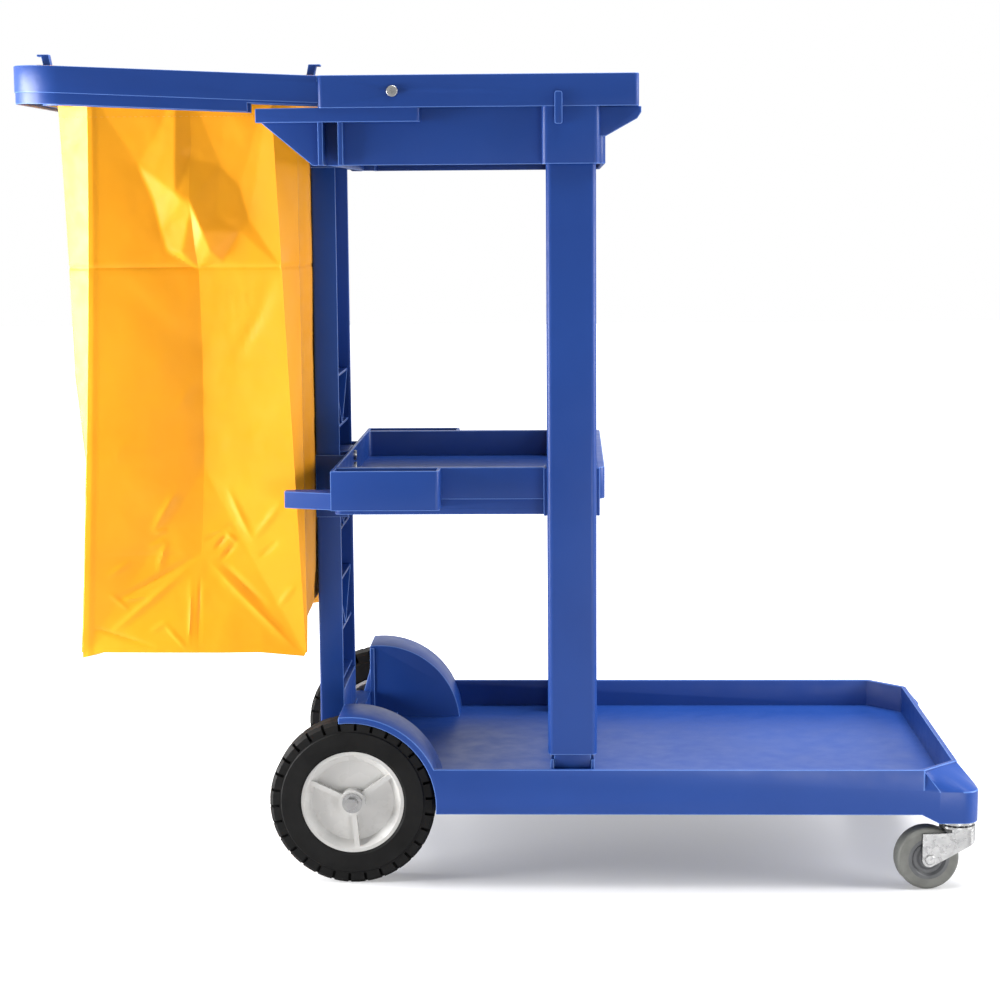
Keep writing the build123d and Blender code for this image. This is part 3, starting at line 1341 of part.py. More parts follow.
def all_pieces():
    """Every node of the cart, by name."""
    column = front_column()
    pieces = {
        "base_platform": base_platform(),
        "rear_upright": rear_upright(),
        "right_front_column": column,
        "left_front_column": other_side(column),
        "middle_shelf": middle_shelf(),
        "top_shelf": top_shelf(),
        "bag_frame": bag_frame(),
        "waste_bag": waste_bag(),
        "rear_axle": rear_axle(),
        "wheel_washers": wheel_washers(),
        "axle_bolts": axle_bolts(),
        "bag_frame_screws": screw_group([frame_screw_seat()], True),
        "top_shelf_screws": screw_group(top_upright_seats(), False) + screw_group([top_column_seat()], True),
        "middle_shelf_screws": screw_group(middle_upright_seats(), False)
        + screw_group([middle_column_seat()], True),
        "column_foot_screws": screw_group([foot_screw_seat()], True),
        "upright_foot_screws": screw_group(upright_screw_seats(), False),
    }
    tyre, hub, bush = wheel_tyre(), wheel_hub(), wheel_bush()
    for name, side in (("right", -1), ("left", 1)):
        pieces[f"{name}_tyre"] = at_wheel(tyre, side)
        pieces[f"{name}_wheel_hub"] = at_wheel(hub, side)
        pieces[f"{name}_wheel_bush"] = at_wheel(bush, side)
    for name, shape in caster_pieces().items():
        pieces[f"right_{name}"] = shape
        if isinstance(shape, list):
            pieces[f"left_{name}"] = [other_side(solid) for solid in shape]
        else:
            pieces[f"left_{name}"] = other_side(shape)
    return pieces


os.makedirs("parts", exist_ok=True)
for node, shape in all_pieces().items():
    solids = shape if isinstance(shape, list) else [shape]
    placed = [Pos(FRAME_SHIFT, 0, 0) * solid for solid in solids]
    export_step(Compound(placed) if len(placed) > 1 else placed[0], f"parts/{node}.step")
print("frame shift along X", FRAME_SHIFT)
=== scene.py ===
# %% [markdown]
# # A janitor's cart, dressed for its picture
# The cart's solids come from the CAD model, with every piece already in its place and in metres. This
# lesson gives each piece its real finish: moulded blue plastic with soft edges, rubber tyres, zinc plated
# casters and a creased bag of coated cloth. The frame is loaded first, because everything hangs on it.

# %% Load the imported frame
import json
from math import pi, radians, sin

import bmesh
import bpy
from mathutils import Matrix, Vector, geometry, noise


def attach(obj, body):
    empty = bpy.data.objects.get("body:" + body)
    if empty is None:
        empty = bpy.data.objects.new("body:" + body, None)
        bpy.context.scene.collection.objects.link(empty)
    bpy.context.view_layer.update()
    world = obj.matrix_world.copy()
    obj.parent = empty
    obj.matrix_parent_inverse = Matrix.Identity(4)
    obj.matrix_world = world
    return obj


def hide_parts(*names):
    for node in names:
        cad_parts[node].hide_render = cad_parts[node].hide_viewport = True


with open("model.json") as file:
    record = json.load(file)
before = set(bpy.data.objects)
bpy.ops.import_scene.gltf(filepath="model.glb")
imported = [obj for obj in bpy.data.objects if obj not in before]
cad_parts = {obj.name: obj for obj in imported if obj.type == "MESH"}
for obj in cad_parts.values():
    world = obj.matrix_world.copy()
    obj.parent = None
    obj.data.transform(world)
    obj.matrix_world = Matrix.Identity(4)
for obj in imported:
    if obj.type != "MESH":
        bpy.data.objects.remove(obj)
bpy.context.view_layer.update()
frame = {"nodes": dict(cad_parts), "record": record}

# %% [markdown]
# ## The studio
# The photograph was taken from the cart's right side, a little above its middle, with a long lens. The
# camera was fitted to points on the cart, so it is set by a place, three turns and a focal length. A wide
# softbox on the left grazes the bag, so that its folds show, a ceiling softbox lights the shelves, one on
# the right lights the bag's front panel between the posts, and a small low one lifts the platform's lip.

# %% Camera
CAMERA_PLACE = (0.0826, -2.799, 0.815)
CAMERA_YAW = 1.81
CAMERA_TILT = 82.29
CAMERA_ROLL = -0.42
FOCAL_LENGTH = 79.24
SENSOR_WIDTH = 36.0
camera_data = bpy.data.cameras.new("camera")
camera = bpy.data.objects.new("camera", camera_data)
bpy.context.scene.collection.objects.link(camera)
camera_turn = Matrix.Rotation(radians(CAMERA_YAW), 4, "Z") @ Matrix.Rotation(radians(CAMERA_TILT), 4, "X")
camera_roll = Matrix.Rotation(radians(CAMERA_ROLL), 4, "Z")
camera.matrix_world = Matrix.Translation(CAMERA_PLACE) @ camera_turn @ camera_roll
camera_data.lens = FOCAL_LENGTH
camera_data.sensor_width = SENSOR_WIDTH
camera_data.sensor_fit = "HORIZONTAL"
bpy.context.scene.camera = camera
bpy.context.scene.view_settings.view_transform = "Standard"
print("camera at", [round(v, 3) for v in camera.matrix_world.translation])

# %% Softboxes
def softbox(name, place, target, size, power):
    """A square area lamp that looks at a target."""
    lamp = bpy.data.lights.new(name, "AREA")
    lamp.shape = "SQUARE"
    lamp.size = size
    lamp.energy = power
    holder = bpy.data.objects.new(name, lamp)
    holder.location = place
    holder.rotation_euler = (Vector(target) - Vector(place)).to_track_quat("-Z", "Y").to_euler()
    holder.visible_camera = False
    bpy.context.scene.collection.objects.link(holder)


softbox("key_softbox", place=(-1.75, -0.35, 0.6), target=(-0.4, -0.1, 0.6), size=1.0, power=84.0)
softbox("ceiling_softbox", place=(0.55, 0.1, 2.45), target=(0.25, 0.0, 0.2), size=1.7, power=112.0)
softbox("right_softbox", place=(2.6, -0.4, 1.0), target=(0.0, 0.0, 0.5), size=1.2, power=72.0)
softbox("low_softbox", place=(0.7, -1.35, 0.1), target=(0.3, -0.25, 0.1), size=0.4, power=7.5)
print("lamps", len(bpy.data.lights))

# %% [markdown]
# ### White surroundings
# The sky is white where it is seen, directly or in a gloss, but gives only a little light, so that the
# softboxes do the modelling. The floor is grey paper that glows white for the camera alone and fades to its
# own tone under the cart, where the shadow lies.

# %% White sky
SKY_LIGHT = 0.15
SKY_SEEN = 1.0
world = bpy.data.worlds.new("studio")
bpy.context.scene.world = world
world.use_nodes = True
sky = world.node_tree.nodes["Background"]
sky.inputs["Color"].default_value = (1.0, 1.0, 1.0, 1.0)


def either_ray(tree, first, second):
    """One where either kind of ray looks, and nought elsewhere."""
    larger = tree.nodes.new("ShaderNodeMath")
    larger.operation = "MAXIMUM"
    tree.links.new(first, larger.inputs[0])
    tree.links.new(second, larger.inputs[1])
    return larger.outputs[0]


def seen_directly(tree):
    """One for rays from the camera, from gloss and through glass."""
    path = tree.nodes.new("ShaderNodeLightPath")
    seen = either_ray(tree, path.outputs["Is Camera Ray"], path.outputs["Is Glossy Ray"])
    return either_ray(tree, seen, path.outputs["Is Transmission Ray"])


sky_strength = world.node_tree.nodes.new("ShaderNodeMapRange")
sky_strength.inputs["To Min"].default_value = SKY_LIGHT
sky_strength.inputs["To Max"].default_value = SKY_SEEN
world.node_tree.links.new(seen_directly(world.node_tree), sky_strength.inputs["Value"])
world.node_tree.links.new(sky_strength.outputs["Result"], sky.inputs["Strength"])
print("sky light", SKY_LIGHT)

# %% Paper floor
FLOOR_SIZE = 24.0
PAPER_TONE = (0.62, 0.62, 0.63)
PAPER_ROUGHNESS = 0.32
FADE_SHIFT = (-0.35, 0.05, 0.0)
FADE_SCALE = (1.5, 1.5, 1.0)
FADE = {"From Min": 0.45, "From Max": 1.25, "To Min": 0.2, "To Max": 1.0}
bpy.ops.object.select_all(action="DESELECT")
bpy.ops.mesh.primitive_plane_add(size=FLOOR_SIZE, location=(0.0, 0.0, 0.0))
floor = bpy.context.object
floor.name = "studio_floor"
paper = bpy.data.materials.new("studio_paper")
paper.use_nodes = True
floor.data.materials.append(paper)
paper_nodes = paper.node_tree.nodes
paper_links = paper.node_tree.links
paper_shader = paper_nodes["Principled BSDF"]
paper_shader.inputs["Base Color"].default_value = (*PAPER_TONE, 1.0)
paper_shader.inputs["Roughness"].default_value = PAPER_ROUGHNESS
paper_shader.inputs["Emission Color"].default_value = (1.0, 1.0, 1.0, 1.0)
paper_path = paper_nodes.new("ShaderNodeLightPath")
paper_place = paper_nodes.new("ShaderNodeTexCoord")
paper_oval = paper_nodes.new("ShaderNodeMapping")
paper_oval.inputs["Location"].default_value = FADE_SHIFT
paper_oval.inputs["Scale"].default_value = FADE_SCALE
paper_reach = paper_nodes.new("ShaderNodeVectorMath")
paper_reach.operation = "LENGTH"
paper_fade = paper_nodes.new("ShaderNodeMapRange")
paper_fade.interpolation_type = "SMOOTHSTEP"
for socket, value in FADE.items():
    paper_fade.inputs[socket].default_value = value
paper_glow = paper_nodes.new("ShaderNodeMath")
paper_glow.operation = "MULTIPLY"
paper_links.new(paper_place.outputs["Object"], paper_oval.inputs["Vector"])
paper_links.new(paper_oval.outputs["Vector"], paper_reach.inputs[0])
paper_links.new(paper_reach.outputs["Value"], paper_fade.inputs["Value"])
paper_links.new(paper_path.outputs["Is Camera Ray"], paper_glow.inputs[0])
paper_links.new(paper_fade.outputs["Result"], paper_glow.inputs[1])
paper_links.new(paper_glow.outputs[0], paper_shader.inputs["Emission Strength"])
print("floor", floor.name)

# %% [markdown]
# ## Finishes
# Each finish is a node material on Object coordinates, so its grain keeps its size on every piece. A small
# set of helpers adds a patchy colour, a rough-and-smooth pattern and a bump, and each finish uses them with
# its own scales.

# %% Helpers for finishes
# The mix node has sockets for numbers, vectors and colours. These are the places of its colour sockets.
MIX_TONES = (6, 7)
MIX_RESULT = 2


def new_finish(name, colour, roughness):
    """A material with a plain Principled shader to build on."""
    finish = bpy.data.materials.new(name)
    finish.use_nodes = True
    shader = finish.node_tree.nodes["Principled BSDF"]
    shader.inputs["Base Color"].default_value = (*colour, 1.0)
    shader.inputs["Roughness"].default_value = roughness
    return finish, shader


def object_place(finish, stretch):
    """Object coordinates, stretched along the axes."""
    place = finish.node_tree.nodes.new("ShaderNodeTexCoord")
    mapping = finish.node_tree.nodes.new("ShaderNodeMapping")
    mapping.inputs["Scale"].default_value = stretch
    finish.node_tree.links.new(place.outputs["Object"], mapping.inputs["Vector"])
    return mapping.outputs["Vector"]


def cloudy(finish, scale, detail, stretch=(1.0, 1.0, 1.0)):
    """A noise pattern, as a value."""
    cloud = finish.node_tree.nodes.new("ShaderNodeTexNoise")
    cloud.inputs["Scale"].default_value = scale
    cloud.inputs["Detail"].default_value = detail
    finish.node_tree.links.new(object_place(finish, stretch), cloud.inputs["Vector"])
    return cloud.outputs["Fac"]


def spread(finish, value, low, high, start=0.3, end=0.7):
    """A pattern's value spread over a new range."""
    remap = finish.node_tree.nodes.new("ShaderNodeMapRange")
    remap.inputs["From Min"].default_value = start
    remap.inputs["From Max"].default_value = end
    remap.inputs["To Min"].default_value = low
    remap.inputs["To Max"].default_value = high
    finish.node_tree.links.new(value, remap.inputs["Value"])
    return remap.outputs["Result"]


def two_tone(finish, value, first, second):
    """A colour between two tones; each tone is a colour or another pattern's output."""
    mix = finish.node_tree.nodes.new("ShaderNodeMix")
    mix.data_type = "RGBA"
    finish.node_tree.links.new(value, mix.inputs["Factor"])
    for place, tone in zip(MIX_TONES, (first, second)):
        if isinstance(tone, tuple):
            mix.inputs[place].default_value = (*tone, 1.0)
        else:
            finish.node_tree.links.new(tone, mix.inputs[place])
    return mix.outputs[MIX_RESULT]


def bumped(finish, shader, height, strength, depth, under=None):
    """A bump from a height pattern, on top of another bump where one is given."""
    bump = finish.node_tree.nodes.new("ShaderNodeBump")
    bump.inputs["Strength"].default_value = strength
    bump.inputs["Distance"].default_value = depth
    finish.node_tree.links.new(height, bump.inputs["Height"])
    if under is not None:
        finish.node_tree.links.new(under, bump.inputs["Normal"])
    finish.node_tree.links.new(bump.outputs["Normal"], shader.inputs["Normal"])
    return bump.outputs["Normal"]


def painted_edge_highlight(finish):
    """The share of painted edge highlight at a point, stored on the mesh by the dressing step."""
    edge_highlight_mix = finish.node_tree.nodes.new("ShaderNodeAttribute")
    edge_highlight_mix.attribute_name = "edge_highlight_share"
    return edge_highlight_mix.outputs["Fac"]


# %% [markdown]
# ### Moulded blue plastic
# The mouldings are satin polypropylene, coloured right through. Flow during moulding leaves faint cloudy
# tones and the tool leaves a fine grain. The bevelled outer edges get a painted highlight, a paler blue
# that stands in for the light they catch. Noises and the edge value do it.

# %% Blue plastic
blue_plastic, shader = new_finish("blue_plastic", (0.011, 0.046, 0.222), 0.36)
flow = spread(blue_plastic, cloudy(blue_plastic, scale=5.0, detail=3.0), 0.0, 1.0)
flow_tone = two_tone(blue_plastic, flow, (0.0102, 0.042, 0.205), (0.0118, 0.05, 0.238))
# Painted highlight: the bevel's faces go part of the way to a pale blue, for the light their rounding
# catches.
edge_highlight_mix = spread(blue_plastic, painted_edge_highlight(blue_plastic), low=0.0, high=0.55, start=0.0, end=1.0)
blue_tone = two_tone(blue_plastic, edge_highlight_mix, flow_tone, (0.12, 0.24, 0.6))
blue_plastic.node_tree.links.new(blue_tone, shader.inputs["Base Color"])
satin = spread(blue_plastic, cloudy(blue_plastic, scale=38.0, detail=4.0), low=0.32, high=0.44)
blue_plastic.node_tree.links.new(satin, shader.inputs["Roughness"])
shader.inputs["Specular IOR Level"].default_value = 0.24
grain = cloudy(blue_plastic, scale=1500.0, detail=2.0)
tool_grain = bumped(blue_plastic, shader, grain, strength=0.12, depth=0.0002)
sink_marks = cloudy(blue_plastic, scale=14.0, detail=2.0)
bumped(blue_plastic, shader, sink_marks, strength=0.06, depth=0.002, under=tool_grain)
print("finish", blue_plastic.name)

# %% [markdown]
# ### Rubber, hub and caster plastics
# Tyre rubber is nearly black and dull. The hub is an off-white gloss moulding, a little warm in tone. The
# caster's tread is grey thermoplastic rubber, which picks up dirt, and its core is dark and matt.

# %% Rubber and plastics of the wheels
GRAIN_DEPTH = 0.0003
GLOSS_TO_PATCH = 3.0


def moulded(name, dark, light, gloss, patch, grain, grain_strength, shine=0.5):
    """A plastic or rubber with a patchy tone, a patchy gloss and a fine grain."""
    smooth, rough = gloss
    finish, shader = new_finish(name, light, rough)
    shader.inputs["Specular IOR Level"].default_value = shine
    patches = spread(finish, cloudy(finish, patch, detail=4.0), 0.0, 1.0)
    finish.node_tree.links.new(two_tone(finish, patches, dark, light), shader.inputs["Base Color"])
    sheen = spread(finish, cloudy(finish, patch * GLOSS_TO_PATCH, detail=3.0), smooth, rough)
    finish.node_tree.links.new(sheen, shader.inputs["Roughness"])
    bumped(finish, shader, cloudy(finish, grain, detail=2.0), grain_strength, GRAIN_DEPTH)
    return finish


tyre_rubber = moulded("tyre_rubber", dark=(0.005, 0.005, 0.005), light=(0.011, 0.011, 0.011),
                      gloss=(0.5, 0.72), patch=24.0, grain=900.0, grain_strength=0.35, shine=0.12)
hub_plastic = moulded("hub_plastic", dark=(0.515, 0.508, 0.49), light=(0.545, 0.54, 0.523),
                      gloss=(0.24, 0.32), patch=16.0, grain=1200.0, grain_strength=0.05, shine=0.35)
bush_plastic = moulded("bush_plastic", dark=(0.58, 0.58, 0.55), light=(0.68, 0.68, 0.65),
                       gloss=(0.35, 0.5), patch=60.0, grain=1400.0, grain_strength=0.08)
caster_tread = moulded("caster_tread", dark=(0.092, 0.094, 0.084), light=(0.132, 0.134, 0.122),
                       gloss=(0.45, 0.65), patch=70.0, grain=1300.0, grain_strength=0.2)
caster_core = moulded("caster_core", dark=(0.05, 0.052, 0.056), light=(0.09, 0.092, 0.097),
                      gloss=(0.4, 0.55), patch=60.0, grain=1400.0, grain_strength=0.12)
print("finishes", [f.name for f in (tyre_rubber, hub_plastic, bush_plastic, caster_tread, caster_core)])

# %% [markdown]
# ### Steel
# The casters' forks, screws and washers are zinc plated, with soft blotches of dulled plating. The axle and
# kingpins are turned bare steel, whose tool marks are fine lines.

# %% Zinc and bare steel
zinc_steel, shader = new_finish("zinc_steel", (0.66, 0.67, 0.7), 0.28)
shader.inputs["Metallic"].default_value = 1.0
plating = spread(zinc_steel, cloudy(zinc_steel, scale=90.0, detail=5.0), 0.0, 1.0)
zinc_tone = two_tone(zinc_steel, plating, (0.28, 0.28, 0.28), (0.365, 0.365, 0.36))
zinc_steel.node_tree.links.new(zinc_tone, shader.inputs["Base Color"])
dulled = spread(zinc_steel, cloudy(zinc_steel, scale=160.0, detail=4.0), low=0.2, high=0.42)
zinc_steel.node_tree.links.new(dulled, shader.inputs["Roughness"])
bumped(zinc_steel, shader, cloudy(zinc_steel, scale=500.0, detail=3.0), strength=0.08, depth=0.0002)

bare_steel, shader = new_finish("bare_steel", (0.56, 0.57, 0.59), 0.3)
shader.inputs["Metallic"].default_value = 1.0
turning = cloudy(bare_steel, scale=30.0, detail=3.0, stretch=(1.0, 60.0, 1.0))
turned_gloss = spread(bare_steel, turning, low=0.22, high=0.42)
bare_steel.node_tree.links.new(turned_gloss, shader.inputs["Roughness"])
turned_lines = spread(bare_steel, turning, 0.0, 1.0)
steel_tone = two_tone(bare_steel, turned_lines, (0.46, 0.47, 0.49), (0.62, 0.63, 0.65))
bare_steel.node_tree.links.new(steel_tone, shader.inputs["Base Color"])
bumped(bare_steel, shader, turning, strength=0.1, depth=0.0002)
print("finishes", zinc_steel.name, bare_steel.name)

# %% Give every node its finish
FINISHES = {
    "blue_plastic": blue_plastic,
    "tyre_rubber": tyre_rubber,
    "hub_plastic": hub_plastic,
    "bush_plastic": bush_plastic,
    "bare_steel": bare_steel,
    "zinc_steel": zinc_steel,
    "caster_tread": caster_tread,
    "caster_core": caster_core,
}
node_slot = {part["node"]: part["material_slot"] for part in frame["record"]["subparts"]}
node_body = {node: body for body, nodes in frame["record"]["behaviour"]["bodies"].items() for node in nodes}
for node, slot in node_slot.items():
    if slot in FINISHES:
        piece = frame["nodes"][node]
        piece.data.materials.clear()
        piece.data.materials.append(FINISHES[slot])
print("nodes dressed in a finish", sum(slot in FINISHES for slot in node_slot.values()))

# %% [markdown]
# ## Soft edges on the mouldings
# A moulding has no sharp edge: the tool's corners are eased, and each edge catches a thin line of light. A
# copy of the CAD mesh is merged, cleared of needless edges and bevelled along its outer edges, and the
# bevel's faces are marked for a painted highlight, a paler blue that adds to that line of light. Inner
# corners stay as they are. The upright's bevel is small, because its slanted ribs are only 2 mm thick and
# have to keep a face between their two bevels.

# %% A copy with eased edges
EASED_WIDTH = {
    "base_platform": 0.001,
    "rear_upright": 0.0007,
    "right_front_column": 0.0012,
    "left_front_column": 0.0012,
    "middle_shelf": 0.0009,
    "top_shelf": 0.0009,
    "bag_frame": 0.0008,
}
EASED_SEGMENTS = 2
SHARP_EDGE = 32.0
FLAT_EDGE = 0.6
MERGE_REACH = 0.00002


def only(piece):
    """Make one piece the selected and active one."""
    bpy.ops.object.select_all(action="DESELECT")
    piece.select_set(True)
    bpy.context.view_layer.objects.active = piece


def weigh_outer_edges(piece):
    """Give a bevel weight to the sharp edges that stand outwards."""
    mesh = bmesh.new()
    mesh.from_mesh(piece.data)
    weight = mesh.edges.layers.float.new("bevel_weight_edge")
    for edge in mesh.edges:
        if len(edge.link_faces) == 2 and edge.is_convex and edge.calc_face_angle() > radians(SHARP_EDGE):
            edge[weight] = 1.0
    mesh.to_mesh(piece.data)
    mesh.free()


def mark_edge_highlight(piece):
    """Store the bevel's faces as the painted edge highlight value; leave one material on the piece."""
    highlight_faces = [float(face.material_index == 1) for face in piece.data.polygons]
    for face in piece.data.polygons:
        face.material_index = 0
    piece.data.materials.pop(index=1)
    value = piece.data.attributes.new("edge_highlight_share", "FLOAT", "FACE")
    value.data.foreach_set("value", highlight_faces)


def eased_copy(node, width):
    """A copy of a CAD node with bevelled edges, riding on the node's body in its place."""
    piece = bpy.data.objects.new("eased_" + node, frame["nodes"][node].data.copy())
    bpy.context.scene.collection.objects.link(piece)
    only(piece)
    bpy.ops.object.mode_set(mode="EDIT")
    bpy.ops.mesh.select_all(action="SELECT")
    bpy.ops.mesh.customdata_custom_splitnormals_clear()
    bpy.ops.mesh.remove_doubles(threshold=MERGE_REACH)
    bpy.ops.mesh.dissolve_limited(angle_limit=radians(FLAT_EDGE))
    bpy.ops.object.mode_set(mode="OBJECT")
    piece.data.materials.append(piece.data.materials[0])
    weigh_outer_edges(piece)
    bevel = piece.modifiers.new("eased_edges", "BEVEL")
    bevel.width = width
    bevel.segments = EASED_SEGMENTS
    bevel.limit_method = "WEIGHT"
    bevel.use_clamp_overlap = False
    # The bevel's faces take the second slot, which marks them for the painted edge highlight.
    bevel.material = 1
    bpy.ops.object.modifier_apply(modifier=bevel.name)
    mark_edge_highlight(piece)
    bpy.ops.object.shade_smooth_by_angle(angle=radians(SHARP_EDGE))
    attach(piece, node_body[node])
    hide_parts(node)
    return piece


for node, width in EASED_WIDTH.items():
    piece = eased_copy(node, width)
    print(piece.name, "faces", len(piece.data.polygons))

# %% [markdown]
# ## The waste bag
# The bag is sewn from coated cloth and hangs by four tabs from the loop's hooks. The tabs pull its hem into
# a rectangle with cut corners, and its foot is a plain rectangle, so the corners run down as long thin
# triangles. It was stored folded: each side panel is a gusset with a valley down its middle, ending at an
# apex with two diagonals, and one level fold runs right round. A cloth simulation would lose these pressed
# folds, so each panel is a fine grid that follows a map of folds, and small wrinkles are laid over it.

# %% Outline of the bag at each height
BAG_TOP = 0.955
BAG_FOOT = 0.278
BAG_DROP = BAG_TOP - BAG_FOOT
LEVEL_FOLD = 0.741
APEX = 0.396
HEM_BACK = -0.479
HEM_FRONT = -0.264
HEM_HALF = 0.203
BACK_DRIFT = 0.0275
BACK_DRIFT_CURVE = 1.5
FRONT_DRIFT = 0.029
HALF_LOSS = 0.004
FACET_CUT = 0.04
FRONT_FACET_DEPTH = 0.025
BACK_FACET_DEPTH = 0.045
BACK_FACET_BEND = 0.613
BACK_FACET_END = 0.51
BEND_SHARE = 0.41
SHARP_CORNER = 0.0015


def fall_at(height):
    """How far down the bag a height lies: nought at the hem, one at the foot."""
    return (BAG_TOP - height) / BAG_DROP


def back_facet(height):
    """The back facet's width as a share of its width at the hem: it narrows slowly, then quickly."""
    if height > BACK_FACET_BEND:
        return BEND_SHARE + (1.0 - BEND_SHARE) * (height - BACK_FACET_BEND) / (BAG_TOP - BACK_FACET_BEND)
    return BEND_SHARE * max(0.0, (height - BACK_FACET_END) / (BACK_FACET_BEND - BACK_FACET_END))


def outline(height):
    """The eight corners of the bag at a height, from the right panel's back corner round past the front."""
    fall = fall_at(height)
    side_back = HEM_BACK - BACK_DRIFT * fall ** BACK_DRIFT_CURVE
    side_front = HEM_FRONT + FRONT_DRIFT * fall
    half = HEM_HALF - HALF_LOSS * fall
    back_share = back_facet(height)
    back = side_back - SHARP_CORNER - (BACK_FACET_DEPTH - SHARP_CORNER) * back_share
    back_cut = SHARP_CORNER + (FACET_CUT - SHARP_CORNER) * back_share
    front = side_front + SHARP_CORNER + (FRONT_FACET_DEPTH - SHARP_CORNER) * (1.0 - fall)
    front_cut = SHARP_CORNER + (FACET_CUT - SHARP_CORNER) * (1.0 - fall)
    right = [(side_back, -half), (side_front, -half), (front, front_cut - half)]
    left = [(front, half - front_cut), (side_front, half), (side_back, half), (back, half - back_cut)]
    return [Vector(corner) for corner in right + left + [(back, back_cut - half)]]


print("hem corners", [tuple(round(v, 3) for v in corner) for corner in outline(BAG_TOP)[:3]])

# %% [markdown]
# ### The map of folds
# Each point on the side panel is its share of the width from the back, then its height and how far the
# cloth stands out there, both in millimetres. A constrained triangulation keeps the pressed folds as
# straight lines between them. The valley has popped outwards near the top, which leaves a bright side and a
# dark side, and a narrow tuck.

# %% Fold map of the side panels
MM = 1000
PANEL_WIDTH = 0.245
SAME_POINT = 1e-6
FOLD_POINTS = {
    "hem_back": (0.0, 955, 0.0),
    "tuck_hem": (0.483, 955, -2.5),
    "valley_hem": (0.547, 955, -7.0),
    "hem_front": (1.0, 955, 0.0),
    "fold_back": (0.0, 742, 0.0),
    "fold_front": (1.0, 740, 0.0),
    "foot_back": (0.0, 278, 0.0),
    "foot_middle": (0.514, 278, 3.0),
    "foot_front": (1.0, 278, 0.0),
    "tuck_middle": (0.468, 875, -1.0),
    "tuck_low": (0.464, 828, 2.5),
    "tuck_end": (0.5, 820, 4.0),
    "pop_high": (0.393, 906, -5.0),
    "pop_tip": (0.26, 861, -7.5),
    "pop_side": (0.334, 822, -9.5),
    "pop_low": (0.372, 784, -11.0),
    "pop_foot": (0.397, 762, -12.0),
    "pop_hollow": (0.48, 757, -7.0),
    "valley_tuck": (0.538, 868, -7.5),
    "valley_pop": (0.537, 820, 4.5),
    "valley_pop_low": (0.542, 808, 2.5),
    "valley_pop_end": (0.55, 758, -10.0),
    "leaf_top": (0.552, 884, -7.0),
    "leaf_high": (0.7, 860, -11.0),
    "leaf_side": (0.795, 836, -11.5),
    "leaf_tip": (0.836, 797, -10.5),
    "leaf_low": (0.79, 783, -8.5),
    "leaf_foot": (0.688, 748, -12.0),
    "leaf_ridge": (0.6, 784, 5.0),
    "ridge_high": (0.557, 809, 4.5),
    "leaf_inner": (0.632, 760, -2.0),
    "leaf_crease": (0.66, 801, -2.5),
    "valley_fold": (0.557, 738, -19.0),
    "valley_middle": (0.557, 644, -26.0),
    "valley_low": (0.549, 500, -26.0),
    "apex": (0.531, 397, -18.0),
}
FOLD_CHAINS = [
    "hem_back tuck_hem valley_hem hem_front fold_front foot_front foot_middle foot_back fold_back hem_back",
    "valley_hem leaf_top valley_tuck valley_pop valley_pop_low valley_pop_end valley_fold",
    "valley_fold valley_middle valley_low apex",
    "foot_back apex foot_middle",
    "apex foot_front",
    "fold_back pop_foot valley_fold leaf_foot fold_front",
    "tuck_hem tuck_middle tuck_low tuck_end valley_pop",
    "pop_high pop_tip pop_side pop_low pop_foot pop_hollow valley_pop_end",
    "pop_high tuck_middle",
    "leaf_top leaf_high leaf_side leaf_tip leaf_low leaf_foot leaf_inner leaf_ridge ridge_high valley_pop",
    "leaf_tip leaf_crease ridge_high",
]
fold_names = list(FOLD_POINTS)
fold_flat = [Vector((share * PANEL_WIDTH, height / MM)) for share, height, _ in FOLD_POINTS.values()]
fold_lines = []
for chain in FOLD_CHAINS:
    stops = [fold_names.index(name) for name in chain.split()]
    fold_lines += list(zip(stops[:-1], stops[1:]))
cut = geometry.delaunay_2d_cdt(fold_flat, fold_lines, [], 1, SAME_POINT)
flat_points, _, fold_faces, point_from, _, _ = cut
fold_depth = [FOLD_POINTS[fold_names[origins[0]]][2] / MM for origins in point_from]
print("fold triangles", len(fold_faces), "points", len(flat_points))

# %% Reading the fold map
FOLD_EASE = 0.0012
HIGH_VALLEY = "valley_hem leaf_top valley_tuck valley_pop valley_pop_end valley_fold"
LOW_VALLEY = "valley_middle valley_low apex foot_middle"
VALLEY = [FOLD_POINTS[name] for name in HIGH_VALLEY.split() + LOW_VALLEY.split()]


def fold_at(share, height):
    """How far the cloth stands out at a place on the side panel."""
    spot = Vector((min(max(share, 0.0), 1.0) * PANEL_WIDTH, min(max(height, BAG_FOOT), BAG_TOP), 0.0))
    for face in fold_faces:
        corners = [flat_points[i].to_3d() for i in face]
        if geometry.intersect_point_tri_2d(spot, *corners):
            depths = [Vector((fold_depth[i], 0.0, 0.0)) for i in face]
            return geometry.barycentric_transform(spot, *corners, *depths).x
    return 0.0


def soft_fold(share, height):
    """The fold map, eased over a few millimetres so that each fold has a small radius."""
    around = [(0.0, 0.0), (FOLD_EASE, 0.0), (-FOLD_EASE, 0.0), (0.0, FOLD_EASE), (0.0, -FOLD_EASE)]
    return sum(fold_at(share + dx / PANEL_WIDTH, height + dz) for dx, dz in around) / len(around)


def valley_share(height):
    """Where the valley lies across the panel at a height, so that one column of the grid can follow it."""
    for (share, top, _), (next_share, low, _) in zip(VALLEY[:-1], VALLEY[1:]):
        if height * MM >= low:
            return share + (next_share - share) * (top - height * MM) / (top - low)
    return VALLEY[-1][0]


print("valley at the level fold", round(valley_share(LEVEL_FOLD), 3))

# %% [markdown]
# ### Wrinkles
# Where the folds meet, the cloth buckles into short ridges and grooves. Each is a line on the panel, from
# one place to another by share of the width and height, then its rise in millimetres and its reach to each
# side. It fades out towards its ends.

